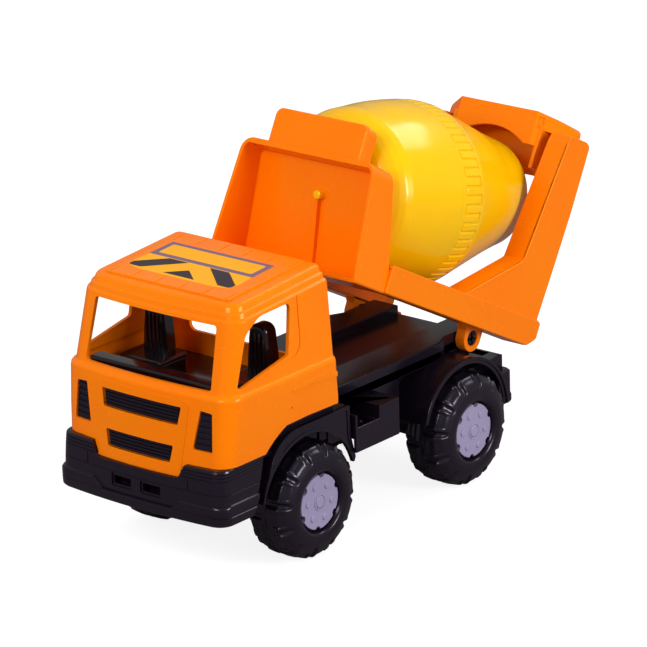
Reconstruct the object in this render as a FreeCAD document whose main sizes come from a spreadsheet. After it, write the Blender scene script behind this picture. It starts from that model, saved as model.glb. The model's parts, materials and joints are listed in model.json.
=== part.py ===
"""Toy cement mixer truck: FreeCAD macro, millimetres, +Z up, +X the truck's left-to-right axis.

The finished truck's origin is on the ground, on its centre plane, under the middle of its
overall length. Every piece is drawn about a point midway between the two axles and is then
moved forward by its Placement. The cab faces -Y. The tipping body and its drum are drawn
raised about the rear hinge: they are built in the body's own frame, whose origin is the
hinge axis, and are placed on the chassis by their Placement.
"""
import FreeCAD, Part
import Sketcher
import math
import os
from FreeCAD import Placement, Rotation, Vector

DIMENSIONS = {
    # running gear
    "middle_behind_axles": 25.35,
    "wheelbase": 145.0,
    "axle_height": 35.0,
    "axle_radius": 2.0,
    "axle_half_length": 63.0,
    "tyre_radius": 35.0,
    "tyre_outer": 68.5,
    "tyre_inner": 36.5,
    "tyre_lugs": 12,
    "cap_bumps": 6,
    "cap_radius": 16.6,
    "cap_outer": 67.2,
    "running_gap": 0.08,
    # chassis
    "core_half": 33.0,
    "core_bottom": 44.0,
    "deck_half": 44.0,
    "deck_top": 82.0,
    "rail_inner": 20.0,
    "rail_top": 87.5,
    "hinge_half": 39.5,
    "chassis_wall": 2.4,
    "fender_outer": 63.0,
    "rear_fender_outer": 61.8,
    "bumper_half": 62.6,
    "bumper_bottom": 43.0,
    "bumper_top": 76.0,
    "step_outer": 66.2,
    # cab
    "cab_wall": 2.2,
    "cab_rear": 25.0,
    "sill_top": 90.8,
    "roof_panel": 1.2,
    "belt_height": 117.3,
    "roof_front": 166.8,
    "roof_rear": 173.6,
    # tipping body
    "tilt": 28.0,
    "hinge_back": 97.5,
    "hinge_height": 82.6,
    "lug_inner": 40.0,
    "lug_outer": 47.0,
    "lug_radius": 8.3,
    "pin_radius": 4.6,
    "body_half": 57.0,
    "body_wall": 2.0,
    "flange_inner": 41.0,
    # drum, measured along its own axis from the tip of the front stub
    "drum_rise": 14.0,
    "stub_back": 126.0,
    "stub_height": 52.2,
    "stub_radius": 2.9,
    "drum_seam": 69.0,
    "drum_band_end": 88.5,
    "drum_end": 168.0,
    "drum_band_radius": 57.2,
    "drum_skin": 2.0,
}


class Size:
    """A length that keeps its number together with the spreadsheet expression that drives it."""

    def __init__(self, value, text):
        self.value = float(value)
        self.text = text

    def _join(self, other, sign, value):
        return Size(value, "(%s %s %s)" % (self.text, sign, size(other).text))

    def __add__(self, other):
        return self._join(other, "+", self.value + number(other))

    def __sub__(self, other):
        return self._join(other, "-", self.value - number(other))

    def __mul__(self, other):
        return self._join(other, "*", self.value * number(other))

    def __truediv__(self, other):
        return self._join(other, "/", self.value / number(other))

    def __radd__(self, other):
        return size(other) + self

    def __rsub__(self, other):
        return size(other) - self

    def __neg__(self):
        return Size(-self.value, "(-%s)" % self.text)


def size(item):
    """Any number or Size as a Size."""
    return item if isinstance(item, Size) else Size(item, "(%r)" % float(item))


def number(item):
    """Any number or Size as a plain number."""
    return item.value if isinstance(item, Size) else float(item)


def make_sheet(doc):
    """Writes the driving dimensions to a spreadsheet, one aliased cell each."""
    sheet = doc.addObject("Spreadsheet::Sheet", "dims")
    for row, (alias, value) in enumerate(DIMENSIONS.items(), start=1):
        sheet.set("A%d" % row, alias)
        sheet.set("B%d" % row, str(value))
        sheet.setAlias("B%d" % row, alias)
    doc.recompute()
    return sheet


doc = FreeCAD.newDocument("toy_cement_mixer")
sheet = make_sheet(doc)


def dim(alias):
    """A driving dimension of the sheet."""
    return Size(sheet.get(alias), "dims." + alias)


AXLE_Z = dim("axle_height")
FRONT_AXLE = -dim("wheelbase") / 2
REAR_AXLE = dim("wheelbase") / 2
TILT = dim("tilt")
HINGE = (0.0, number(dim("hinge_back")), number(dim("hinge_height")))
BODY_PLACEMENT = Placement(Vector(*HINGE), Rotation(Vector(1, 0, 0), -number(TILT)))


def drive(obj, prop, item):
    """Binds one property of an object to a size."""
    obj.setExpression(prop, size(item).text)


# ---------------------------------------------------------------- solids and booleans

def box(name, x, y, z):
    """A box from its (low, high) pairs along X, Y and Z."""
    solid = doc.addObject("Part::Box", name)
    for prop, base, (low, high) in (
        ("Length", "x", x),
        ("Width", "y", y),
        ("Height", "z", z),
    ):
        drive(solid, prop, size(high) - low)
        drive(solid, "Placement.Base." + base, low)
    return solid


TURNS = {
    "x": Rotation(Vector(0, 1, 0), 90),
    "y": Rotation(Vector(1, 0, 0), -90),
    "z": Rotation(),
}


def rod(name, axis, radius, start, end, centre=(0, 0, 0)):
    """A cylinder along one axis from start to end; centre gives its other two coordinates."""
    solid = doc.addObject("Part::Cylinder", name)
    solid.Placement = Placement(Vector(), TURNS[axis])
    drive(solid, "Radius", radius)
    drive(solid, "Height", size(end) - start)
    for index, letter in enumerate("xyz"):
        drive(solid, "Placement.Base." + letter, start if letter == axis else centre[index])
    return solid


def fuse(name, *solids):
    """All the solids joined into one."""
    joined = doc.addObject("Part::MultiFuse", name)
    joined.Shapes = list(solids)
    joined.Refine = True
    return joined


def cut(name, base, *tools):
    """The base less every tool."""
    tool = tools[0] if len(tools) == 1 else fuse(name + "_tools", *tools)
    result = doc.addObject("Part::Cut", name)
    result.Base = base
    result.Tool = tool
    result.Refine = True
    return result


def common(name, first, second):
    """The volume shared by two solids."""
    result = doc.addObject("Part::Common", name)
    result.Base = first
    result.Tool = second
    return result


def mirrored(name, solid):
    """The solid's mirror image across the truck's centre plane."""
    result = doc.addObject("Part::Mirroring", name)
    result.Source = solid
    result.Normal = Vector(1, 0, 0)
    result.Base = Vector(0, 0, 0)
    return result


def turned(name, solid, angle):
    """The solid turned about the X axis by an angle in degrees."""
    holder = doc.addObject("Part::Compound", name)
    holder.Links = [solid]
    holder.Placement = Placement(Vector(), Rotation(Vector(1, 0, 0), angle))
    return holder


def both_sides(name, solid):
    """The solid together with its mirror image, as a list for fuse or cut."""
    return [solid, mirrored(name, solid)]


# ---------------------------------------------------------------- sketches and bodies

def new_body(name):
    return doc.addObject("PartDesign::Body", name)


def origin_feature(body, role):
    for feature in body.Origin.OriginFeatures:
        if feature.Role == role:
            return feature
    raise RuntimeError("no origin feature " + role)


def sketch(body, role, name, points, offset=0.0):
    """A closed polygon on one of the body's origin planes, every corner driven by sizes."""
    result = body.newObject("Sketcher::SketchObject", name)
    result.AttachmentSupport = (origin_feature(body, role), [""])
    result.MapMode = "FlatFace"
    drive(result, "AttachmentOffset.Base.z", offset)
    corners = [Vector(number(a), number(b), 0) for a, b in points]
    count = len(corners)
    for index in range(count):
        line = Part.LineSegment(corners[index], corners[(index + 1) % count])
        result.addGeometry(line, False)
    for index in range(count):
        result.addConstraint(Sketcher.Constraint("Coincident", index, 2, (index + 1) % count, 1))
    for index, (a, b) in enumerate(points):
        for kind, item in (("DistanceX", a), ("DistanceY", b)):
            rule = Sketcher.Constraint(kind, -1, 1, index, 1, number(item))
            spot = result.addConstraint(rule)
            if isinstance(item, Size):
                result.setExpression("Constraints[%d]" % spot, item.text)
    return result


def pad(body, profile, length, name):
    """A pad of the sketch along its plane's normal."""
    feature = body.newObject("PartDesign::Pad", name)
    feature.Profile = profile
    drive(feature, "Length", length)
    return feature


def pad_polygon(name, role, points, low, high):
    """A body holding one padded polygon that runs from low to high along its plane's normal."""
    body = new_body(name)
    profile = sketch(body, role, name + "_outline", points, low)
    pad(body, profile, size(high) - low, name + "_pad")
    return body


def loft(body, kind, name, sections):
    """A ruled loft through sketches already in the body."""
    feature = body.newObject("PartDesign::" + kind, name)
    feature.Profile = sections[0]
    feature.Sections = sections[1:]
    feature.Ruled = True
    return feature


def revolved(name, role, points, axis):
    """A body holding one polygon turned a full circle about the sketch's own axis."""
    body = new_body(name)
    profile = sketch(body, role, name + "_outline", points)
    feature = body.newObject("PartDesign::Revolution", name + "_turn")
    feature.Profile = profile
    feature.ReferenceAxis = (profile, [axis])
    feature.Angle = 360.0
    body.Tip = feature
    return body


def placed(obj, placement):
    obj.Placement = placement.multiply(obj.Placement)
    return obj


# ---------------------------------------------------------------- wheels and axles

def wheel_names(axle_name):
    return ((axle_name + "_right", 1), (axle_name + "_left", -1))


def tyre_profile():
    """Half section of a tyre as (distance from the centre plane, radius)."""
    outer, inner, radius = dim("tyre_outer"), dim("tyre_inner"), dim("tyre_radius")
    return [
        (outer - 4.6, dim("axle_radius")),
        (outer - 4.6, dim("cap_radius") + 0.6),
        (outer - 1.0, dim("cap_radius") + 1.6),
        (outer, dim("cap_radius") + 4.0),
        (outer, radius - 9.0),
        (outer - 2.2, radius - 3.2),
        (outer - 5.6, radius - 0.4),
        (outer - 9.0, radius),
        (inner + 7.0, radius),
        (inner + 3.0, radius - 1.4),
        (inner, radius - 5.0),
        (inner, radius - 9.0),
        (outer - 12.0, radius - 10.0),
        (outer - 12.0, 9.0),
        (inner + 4.0, 7.0),
        (inner + 4.0, dim("axle_radius")),
    ]


def make_tyre(name, axle_y, side):
    """A wide black tyre with its disc moulded in and lug grooves round the outer shoulder."""
    body = revolved(name + "_turned", "XZ_Plane", tyre_profile(), "H_Axis")
    grooves = []
    count = int(number(dim("tyre_lugs")))
    for index in range(count):
        groove = box(
            "%s_groove_%d" % (name, index),
            (dim("tyre_outer") - 7.0, dim("tyre_outer") + 1.0),
            (-1.0, 1.0),
            (dim("tyre_radius") - 7.0, dim("tyre_radius") + 1.0),
        )
        grooves.append(turned("%s_groove_at_%d" % (name, index), groove, 360.0 * index / count))
    tyre = cut(name + "_grooved", body, *grooves)
    return set_wheel(name, tyre, axle_y, side)


def make_hub_cap(name, axle_y, side):
    """A scalloped grey cap with a ring of bumps and an oval boss, sunk in the tyre's face."""
    outer, radius = dim("cap_outer"), dim("cap_radius")
    disc = rod(name + "_disc", "x", radius, dim("tyre_outer") - 4.5, outer - 0.8)
    boss = rod(name + "_boss", "x", 4.2, outer - 1.5, outer)
    bumps = []
    notches = []
    count = int(number(dim("cap_bumps")))
    for index in range(count):
        angle = math.radians(360.0 * index / count)
        spot = (0, 10.6 * math.cos(angle), 10.6 * math.sin(angle))
        bumps.append(rod("%s_bump_%d" % (name, index), "x", 1.9, outer - 1.5, outer - 0.1, spot))
        angle += math.pi / count
        spot = (0, 16.6 * math.cos(angle), 16.6 * math.sin(angle))
        notches.append(rod("%s_notch_%d" % (name, index), "x", 2.2, 60.0, outer + 1, spot))
    cap = cut(name + "_scalloped", fuse(name + "_solid", disc, boss, *bumps), *notches)
    return set_wheel(name, cap, axle_y, side)


def set_wheel(name, solid, axle_y, side):
    """Puts a wheel piece, drawn on the X axis at the right, on its axle and side."""
    if side < 0:
        solid = mirrored(name + "_mirror", solid)
    holder = doc.addObject("Part::Compound", name)
    holder.Links = [solid]
    drive(holder, "Placement.Base.y", axle_y)
    drive(holder, "Placement.Base.z", AXLE_Z)
    return holder


def make_axle(name, axle_y):
    """A steel rod right across the truck, pressed into both wheels."""
    half = dim("axle_half_length")
    return rod(name, "x", dim("axle_radius"), -half, half, (0, axle_y, AXLE_Z))


def make_axle_clip(name, axle_y):
    """The keeper that closes the axle's two open slots from below."""
    plate = box(name + "_plate", (-31.0, 31.0), (axle_y - 9.0, axle_y + 9.0), (25.5, 28.0))
    tongue = box(
        name + "_tongue",
        (26.8, 31.0),
        (axle_y - 1.9, axle_y + 1.9),
        (27.0, AXLE_Z - dim("axle_radius") - dim("running_gap")),
    )
    return fuse(name, plate, *both_sides(name + "_other_tongue", tongue))


# ---------------------------------------------------------------- chassis

def chassis_core():
    """The inverted trough down the middle, with its deck and the two raised rails on top."""
    half, wall = dim("core_half"), dim("chassis_wall")
    bottom, top = dim("core_bottom"), dim("deck_top")
    trough = box("core_block", (-half, half), (-140.0, 112.0), (bottom, top))
    hollow = box(
        "core_hollow",
        (-half + wall, half - wall),
        (-140.0 + 2.4, 112.0 - 2.4),
        (bottom - 1.0, top - wall),
    )
    deck_half, hinge_half = dim("deck_half"), dim("hinge_half")
    plan = [
        (-deck_half, -45.0),
        (deck_half, -45.0),
        (deck_half, 70.0),
        (hinge_half, 79.0),
        (hinge_half, 109.5),
        (-hinge_half, 109.5),
        (-hinge_half, 79.0),
        (-deck_half, 70.0),
    ]
    deck = pad_polygon("deck", "XY_Plane", plan, top - 6.0, dim("rail_top"))
    channel = box(
        "deck_channel",
        (-dim("rail_inner"), dim("rail_inner")),
        (-46.0, 111.0),
        (top, dim("rail_top") + 1.0),
    )
    window = box("core_window", (-half - 1.0, half + 1.0), (-38.0, 29.0), (bottom - 1.0, 55.5))
    return cut("core_hollowed", trough, hollow, window), cut("deck_railed", deck, channel)


def bearing_blocks(axle_y, name):
    """Two hanging blocks for one axle, slotted from below."""
    block = box(
        name + "_block",
        (26.5, dim("core_half")),
        (axle_y - 8.0, axle_y + 8.0),
        (28.0, dim("core_bottom") + 4.0),
    )
    return both_sides(name + "_block_other", block)


def bearing_slots(axle_y, name):
    """The running hole of one axle and its open slots."""
    fit = dim("axle_radius") + dim("running_gap")
    hole = rod(name + "_hole", "x", fit, -40.0, 40.0, (0, axle_y, AXLE_Z))
    slot = box(name + "_slot", (-40.0, 40.0), (axle_y - fit, axle_y + fit), (20.0, AXLE_Z))
    return [hole, slot]


def fender(name, centre, outer, inner, face, skirts):
    """One barrel-shaped wheel arch with a proud rim on its outer face, cut off at its skirts."""
    half = dim("core_half")
    axle_y, centre_z = centre
    middle = (0, axle_y, centre_z)
    barrel = rod(name + "_barrel", "x", outer - 1.5, half - 2.0, face - 1.4, middle)
    rim = rod(name + "_rim", "x", outer, face - 2.0, face, middle)
    front_skirt, rear_skirt = skirts
    ahead = box(name + "_ahead", (half - 3.0, 70.0), (axle_y - 60.0, axle_y), (-30.0, front_skirt))
    behind = box(name + "_behind", (half - 3.0, 70.0), (axle_y, axle_y + 60.0), (-30.0, rear_skirt))
    well = rod(name + "_well", "x", inner, half, 70.0, middle)
    return cut(name + "_arch", fuse(name + "_full", barrel, rim), ahead, behind), well


def fender_edge(inset):
    """The front fender's outline from its front skirt over the top to its rear foot."""
    rear = dim("cab_rear") - 72.5
    centre_y, centre_z, radius = -86.3, 57.2, 27.0 - inset
    edge = [(-119.2 + inset, 47.0), (-115.8 + inset, 56.0)]
    for step in range(9):
        angle = math.radians(169.0 - 79.0 * step / 8)
        edge.append((centre_y + radius * math.cos(angle), centre_z + radius * math.sin(angle)))
    return edge + [(rear + 7.3, 84.2 - inset)]


def front_fender():
    """The front wheel arch: a bent top sheet, a face plate round the wheel, a rear foot."""
    rear = dim("cab_rear") - 72.5
    half, face = dim("core_half"), dim("fender_outer") + 0.8
    sheet_outline = fender_edge(0.0) + list(reversed(fender_edge(2.0)))
    sheet = pad_polygon("fender_sheet", "YZ_Plane", sheet_outline, half - 2.0, face - 1.0)
    foot = [(rear + 8.3, 64.4), (rear + 12.0, 51.5), (rear + 10.8, 48.7), (-77.5, 47.0)]
    plate = pad_polygon("fender_plate", "YZ_Plane", fender_edge(0.0) + foot, face - 2.6, face)
    well = rod("fender_well", "x", 41.5, 30.0, 70.0, (0, -77.5, 36.0))
    web = box("fender_web", (half, 62.0), (rear + 4.8, rear + 7.3), (72.0, 83.0))
    return fuse("front_fender", sheet, cut("fender_face", plate, well), web)


def bumper_band(name, grow, low, high):
    """The bumper's bowed plan outline, grown outwards, padded between two heights."""
    half = dim("bumper_half") + grow
    right = [
        (half, -112.0),
        (half, -150.5),
        (half - 1.2, -153.0 - 0.3 * grow),
        (half - 4.0, -154.4 - 0.6 * grow),
        (34.0, -156.8 - grow),
    ]
    left = [(-x, y) for x, y in reversed(right)]
    return pad_polygon(name, "XY_Plane", right + left, low, high)


def bumper():
    """The bowed front bumper: raised ends, lowered middle with two slots, stepped faces."""
    bottom, top = dim("bumper_bottom"), dim("bumper_top")
    shell = fuse(
        "bumper_solid",
        bumper_band("bumper_upper", -0.8, bottom + 12.0, top),
        bumper_band("bumper_lower", 1.4, bottom, bottom + 12.5),
    )
    inner = bumper_band("bumper_inner", -2.8, bottom - 1.0, top - 2.4)
    slanted_end = [(-130.0, 40.0), (-122.5, 53.0), (-115.4, 74.3), (-115.0, 80.0), (-100.0, 40.0)]
    ends = pad_polygon("bumper_ends", "YZ_Plane", slanted_end, -80.0, 80.0)
    clear_back = box("bumper_back", (-61.0, 61.0), (-140.0, -100.0), (bottom - 1.0, 73.0))
    dip = box("bumper_dip", (-33.0, 33.0), (-160.0, -141.5), (67.4, 80.0))
    slot = box("bumper_slot", (4.4, 17.7), (-160.0, -150.0), (54.0, 59.5))
    return cut(
        "bumper", shell, inner, ends, clear_back, dip, *both_sides("bumper_slot_other", slot)
    )


def step_box():
    """The side step: an open tray with two studs in front, a closed box behind."""
    outer, inner = dim("step_outer"), dim("deck_half") - 1.5
    block = box("step_block", (inner, outer), (-38.0, 2.5), (54.3, 77.5))
    tray = box("step_tray", (inner + 1.0, outer + 1.0), (-36.0, -16.0), (69.5, 80.0))
    well = box("step_well", (inner + 2.2, outer - 2.2), (-36.0, -18.0), (65.0, 80.0))
    under = box("step_under", (inner + 2.2, outer - 2.2), (-39.0, -18.0), (53.0, 62.6))
    void = box("step_void", (inner + 2.2, outer - 2.2), (-14.0, 0.3), (53.0, 75.3))
    shell = cut("step_shell", block, tray, well, under, void)
    studs = [
        rod("step_stud_%d" % index, "z", 2.2, 64.0, 68.5, (57.0, y, 0))
        for index, y in enumerate((-30.5, -23.5))
    ]
    wall = box("side_wall", (inner, dim("deck_half")), (-45.0, 30.0), (54.3, 80.0))
    arch = box("side_wall_arch", (inner - 1.0, dim("deck_half") + 0.3), (-46.0, -18.0), (50.0, 58.5))
    return cut("step_full", fuse("step_walled", shell, wall, *studs), arch)


def rear_end():
    """The low rear deck with its two slots and the stepped rear bumper."""
    deck = box("tail_deck", (-52.0, 52.0), (86.0, 120.0), (44.0, 67.0))
    plan = [(60.0, 106.0), (60.0, 116.0), (58.7, 119.2), (55.5, 120.5)]
    plan += [(-x, y) for x, y in reversed(plan)]
    tail = pad_polygon("tail_bumper", "XY_Plane", plan, 39.0, 59.5)
    hollow = box("tail_hollow", (-49.6, 49.6), (88.0, 117.6), (38.0, 64.6))
    slot = box("tail_slot", (32.5, 43.5), (111.0, 118.0), (60.0, 70.0))
    return cut("tail", fuse("tail_solid", deck, tail), hollow, *both_sides("tail_slot_2", slot))


def cab_floor():
    """The ledge plate and the raised sill the cab stands on, with the four screws' holes."""
    plate = box("cab_plate", (-60.0, 60.0), (-141.0, -100.0), (73.6, dim("bumper_top")))
    sill_top = dim("sill_top")
    sill = box("cab_sill", (-60.0, 60.0), (-103.0, -50.4), (81.6, sill_top))
    under = box("cab_sill_under", (-57.6, 57.6), (-100.6, -52.8), (70.0, sill_top - 2.6))
    holes = [rod("cab_hole_%d" % i, "z", 1.6, 70.0, 95.0, spot) for i, spot in enumerate(SCREWS)]
    return [plate, cut("cab_sill_hollowed", sill, under)], holes


SCREWS = [(x, y, 0) for y in (-134.0, -58.0) for x in (-50.0, 50.0)]


def make_chassis():
    """The one-piece black chassis moulding."""
    core, deck = chassis_core()
    floors, screw_holes = cab_floor()
    rear, rear_well = fender(
        "rear_fender", (REAR_AXLE, 38.0), 41.5, 38.3, dim("rear_fender_outer"), (48.5, 39.5)
    )
    sides = [front_fender(), rear, step_box()]
    solids = [core, deck, *floors, bumper(), rear_end()]
    for index, side in enumerate(sides):
        solids += both_sides("chassis_side_%d" % index, side)
    wells = both_sides("chassis_well", rear_well)
    shell = cut("chassis_shell", fuse("chassis_solid", *solids), *wells)
    for axle_y, name in ((FRONT_AXLE, "front_bearing"), (REAR_AXLE, "rear_bearing")):
        shell = fuse(name + "_added", shell, *bearing_blocks(axle_y, name))
        shell = cut(name + "_slotted", shell, *bearing_slots(axle_y, name))
    pin_hole = rod("hinge_bore", "x", 2.55, 28.0, 45.0, (0, HINGE[1], HINGE[2]))
    return cut("chassis", shell, *screw_holes, *both_sides("hinge_bore_other", pin_hole))


def make_screws():
    """Four cab screws, driven up through the chassis plate into the cab's posts."""
    screws = []
    for index, (x, y, _) in enumerate(SCREWS):
        seat_z = size(73.6) if y < -100 else dim("sill_top") - 2.6
        head = rod("screw_head_%d" % index, "z", 2.8, seat_z - 1.6, seat_z, (x, y, 0))
        shank = rod("screw_shank_%d" % index, "z", 1.2, seat_z - 0.5, 94.0, (x, y, 0))
        screws.append(fuse("screw_%d" % index, head, shank))
    group = doc.addObject("Part::Compound", "cab_screws")
    group.Links = screws
    return group


# ---------------------------------------------------------------- cab

def cab_section(half, front, rear, bow, corner):
    """Plan outline of the cab at one height, going round from the right rear corner."""
    right = [
        (half, rear),
        (half, front + corner),
        (half - 0.16 * corner, front + 0.45 * corner),
        (half - 0.5 * corner, front + 0.12 * corner),
        (half - corner, front),
        (half * 0.45, front - bow * 0.8),
    ]
    left = [(-x, y) for x, y in reversed(right)]
    return right + left


def cab_heights(grow):
    """The cab's plan sections as (height, outline), grown or shrunk by the given amount."""
    rear = number(dim("cab_rear")) - 72.5
    belt = number(dim("belt_height"))
    rows = (
        (60.0, 61.0, -150.6, rear + 0.4, 4.4, 12.0),
        (92.0, 62.8, -148.0, rear, 3.8, 12.0),
        (belt - 2.0, 63.6, -145.8, rear - 2.4, 3.2, 12.0),
        (belt, 63.3, -144.8, rear - 2.6, 3.2, 12.0),
        (belt + 1.0, 62.2, -143.0, rear - 2.8, 3.0, 12.0),
        (157.0, 59.6, -133.2, rear - 3.8, 2.4, 11.0),
        (162.5, 57.4, -130.6, rear - 4.2, 2.4, 10.0),
        (168.0, 54.4, -127.8, rear - 4.7, 2.2, 9.0),
        (180.0, 51.6, -123.5, rear - 5.4, 2.0, 8.0),
    )
    result = []
    for height, half, front, back, bow, corner in rows:
        outline = cab_section(half + grow, front - grow, back + grow, bow, corner + grow)
        result.append((height, outline))
    return result


def cab_solid(name, grow, bottom, top):
    """The cab's outside grown by a distance, from bottom to top, as three lofts in one body."""
    body = new_body(name)
    sections = []
    for index, (height, outline) in enumerate(cab_heights(grow)):
        level = max(min(height, top), bottom)
        sections.append(sketch(body, "XY_Plane", "%s_at_%d" % (name, index), outline, level))
    loft(body, "AdditiveLoft", name + "_loft", sections)
    return body


def roof_cutter(name, drop):
    """Everything above the roof line lowered by drop."""
    front = dim("roof_front") - drop
    rear = dim("roof_rear") - drop
    outline = [(-140.0, front), (-40.0, rear), (-40.0, 200.0), (-140.0, 200.0)]
    return pad_polygon(name, "YZ_Plane", outline, -80.0, 80.0)


def cab_openings():
    """Windscreen, side windows and rear opening as cutting prisms."""
    screen = [(-47.8, 119.6), (47.8, 119.6), (46.0, 156.0), (-46.0, 156.0)]
    window = [
        (-134.6, 120.2),
        (-90.0, 129.6),
        (-86.6, 159.6),
        (-107.0, 160.0),
        (-118.0, 157.5),
        (-126.0, 150.5),
        (-131.0, 138.0),
    ]
    rear = [(-48.0, 112.0), (48.0, 112.0), (46.0, 158.0), (-46.0, 158.0)]
    return [
        pad_polygon("windscreen", "XZ_Plane", screen, 110.0, 155.0),
        pad_polygon("side_windows", "YZ_Plane", window, -80.0, 80.0),
        pad_polygon("rear_window", "XZ_Plane", rear, 40.0, 60.0),
    ]


GRILLES = {
    "upper_grille": [(-28.1, 97.7), (28.1, 97.7), (30.1, 108.4), (-30.1, 108.4)],
    "lower_grille": [(-23.6, 74.9), (23.6, 74.9), (25.6, 85.1), (-25.6, 85.1)],
    "right_lamp": [(38.9, 85.2), (52.3, 85.0), (51.3, 108.0), (43.3, 108.7)],
    "left_lamp": [(-38.9, 85.2), (-52.3, 85.0), (-51.3, 108.0), (-43.3, 108.7)],
}


def grille_prisms(prefix, shrink, low, high):
    """The four front openings as prisms along the truck, each corner moved in by shrink."""
    prisms = []
    for name, outline in GRILLES.items():
        middle_x = sum(x for x, _ in outline) / 4
        middle_z = sum(z for _, z in outline) / 4
        moved = [
            (x - math.copysign(shrink, x - middle_x), z - math.copysign(shrink, z - middle_z))
            for x, z in outline
        ]
        prisms.append(pad_polygon(prefix + name, "XZ_Plane", moved, low, high))
    return prisms


def make_cab_shell():
    """The thin orange cab: bowed front, belt ledge, tapering pillars and sloping roof."""
    wall = number(dim("cab_wall"))
    outside = cut("cab_outside", cab_solid("cab_outer", 0.0, 60.0, 180.0), roof_cutter("roof", 0.0))
    inside = cut(
        "cab_inside",
        cab_solid("cab_inner", -wall, 60.0, 180.0),
        roof_cutter("roof_inner", wall + 0.6),
    )
    skirt_side = box("skirt_side", (-80.0, 80.0), (-170.0, -40.0), (50.0, 76.1))
    skirt_middle = box("skirt_middle", (-32.8, 32.8), (-170.0, -150.8), (67.5, 80.0))
    skirt = cut("skirt", skirt_side, skirt_middle)
    arch_line = [(-40.0, 70.0), (-113.4, 70.0)]
    for step in range(9):
        angle = math.radians(135.0 - 22.0 * step / 8)
        arch_line.append((FRONT_AXLE + 58.0 * math.cos(angle), AXLE_Z + 58.0 * math.sin(angle)))
    arch_line += [(-76.0, 88.9), (-40.0, 88.0)]
    arch = pad_polygon("cab_arch", "YZ_Plane", arch_line, -80.0, 80.0)
    shell = cut(
        "cab_cut",
        outside,
        inside,
        skirt,
        arch,
        *cab_openings(),
        *grille_prisms("hole_", 0.0, 130.0, 165.0),
    )
    posts = []
    for index, (x, y, _) in enumerate(SCREWS):
        low = dim("bumper_top") + 0.1 if y < -100 else dim("sill_top") + 0.1
        post = rod("cab_post_%d" % index, "z", 3.6, low, 95.8, (x, y, 0))
        near, far = sorted((x, math.copysign(61.6, x)))
        web = box("cab_post_web_%d" % index, (near, far), (y - 0.9, y + 0.9), (91.2, 95.8))
        bore = rod("cab_bore_%d" % index, "z", 1.25, 60.0, 94.5, (x, y, 0))
        full = fuse("cab_post_full_%d" % index, post, web)
        posts.append(cut("cab_post_bored_%d" % index, full, bore))
    return fuse("cab_shell", shell, roof_plateau(), *posts)


def roof_plane(y, lift=0.0):
    """Height of the sloping roof at a place along the truck."""
    rise = (dim("roof_rear") - dim("roof_front")) / 100.0
    return dim("roof_front") + rise * (y + 140.0) + lift


def roof_plateau():
    """The raised panel in the middle of the roof that the label lies on."""
    front_y, rear_y = -124.0, -56.0
    panel = dim("roof_panel")
    outline = [
        (front_y, roof_plane(front_y, -1.0)),
        (rear_y, roof_plane(rear_y, -1.0)),
        (rear_y, roof_plane(rear_y) + panel),
        (front_y, roof_plane(front_y) + panel),
    ]
    return pad_polygon("roof_plateau", "YZ_Plane", outline, -46.0, 46.0)


def seat(name):
    """One seat: a broad cushion and a tall, narrowing back with a round head."""
    cushion = box(name + "_cushion", (24.0, 54.0), (-106.0, -82.0), (97.0, 112.0))
    outline = [
        (29.5, 108.0),
        (50.5, 108.0),
        (48.0, 126.0),
        (46.4, 138.0),
        (44.6, 141.6),
        (42.0, 143.8),
        (38.0, 143.8),
        (35.4, 141.6),
        (33.6, 138.0),
        (32.0, 126.0),
    ]
    back = pad_polygon(name + "_back", "XZ_Plane", outline, 82.5, 92.5)
    flutes = [
        rod("%s_flute_%d" % (name, i), "z", 1.0, 116.0, 139.0, (x, -92.8, 0))
        for i, x in enumerate((36.5, 40.0, 43.5))
    ]
    return cut(name, fuse(name + "_solid", cushion, back), *flutes)


def make_cab_interior():
    """The black insert: floor, dashboard and two seats."""
    floor = box("interior_floor", (-58.5, 58.5), (-136.0, -52.0), (96.0, 98.4))
    dash = box("dash", (-47.0, 47.0), (-140.0, -132.0), (96.0, 121.6))
    console = box("console", (-12.0, 12.0), (-133.0, -118.0), (97.0, 112.0))
    seats = both_sides("seat_left", seat("seat"))
    return fuse("cab_interior", floor, dash, console, *seats)


def make_grille_insert():
    """The black backing plate whose four pads fill the front openings."""
    prisms = fuse("pads_long", *grille_prisms("pad_", 0.15, 143.2, 160.0))
    recessed = cab_solid("pad_limit", -0.8, 60.0, 180.0)
    pads = common("pads", prisms, recessed)
    plate = box("pad_plate", (-53.0, 53.0), (-143.8, -142.0), (78.0, 109.5))
    return fuse("grille_insert", pads, plate)


def make_roof_sticker():
    """The printed label lying on the sloping roof."""
    rear_y, front_y = -73.6, -111.4
    outline = [(front_y, 0.02), (rear_y, 0.02), (rear_y, 0.28), (front_y, 0.28)]
    points = [(y, roof_plane(y, lift) + dim("roof_panel")) for y, lift in outline]
    return pad_polygon("roof_sticker", "YZ_Plane", points, -39.5, 39.5)


# ---------------------------------------------------------------- tipping body

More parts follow.
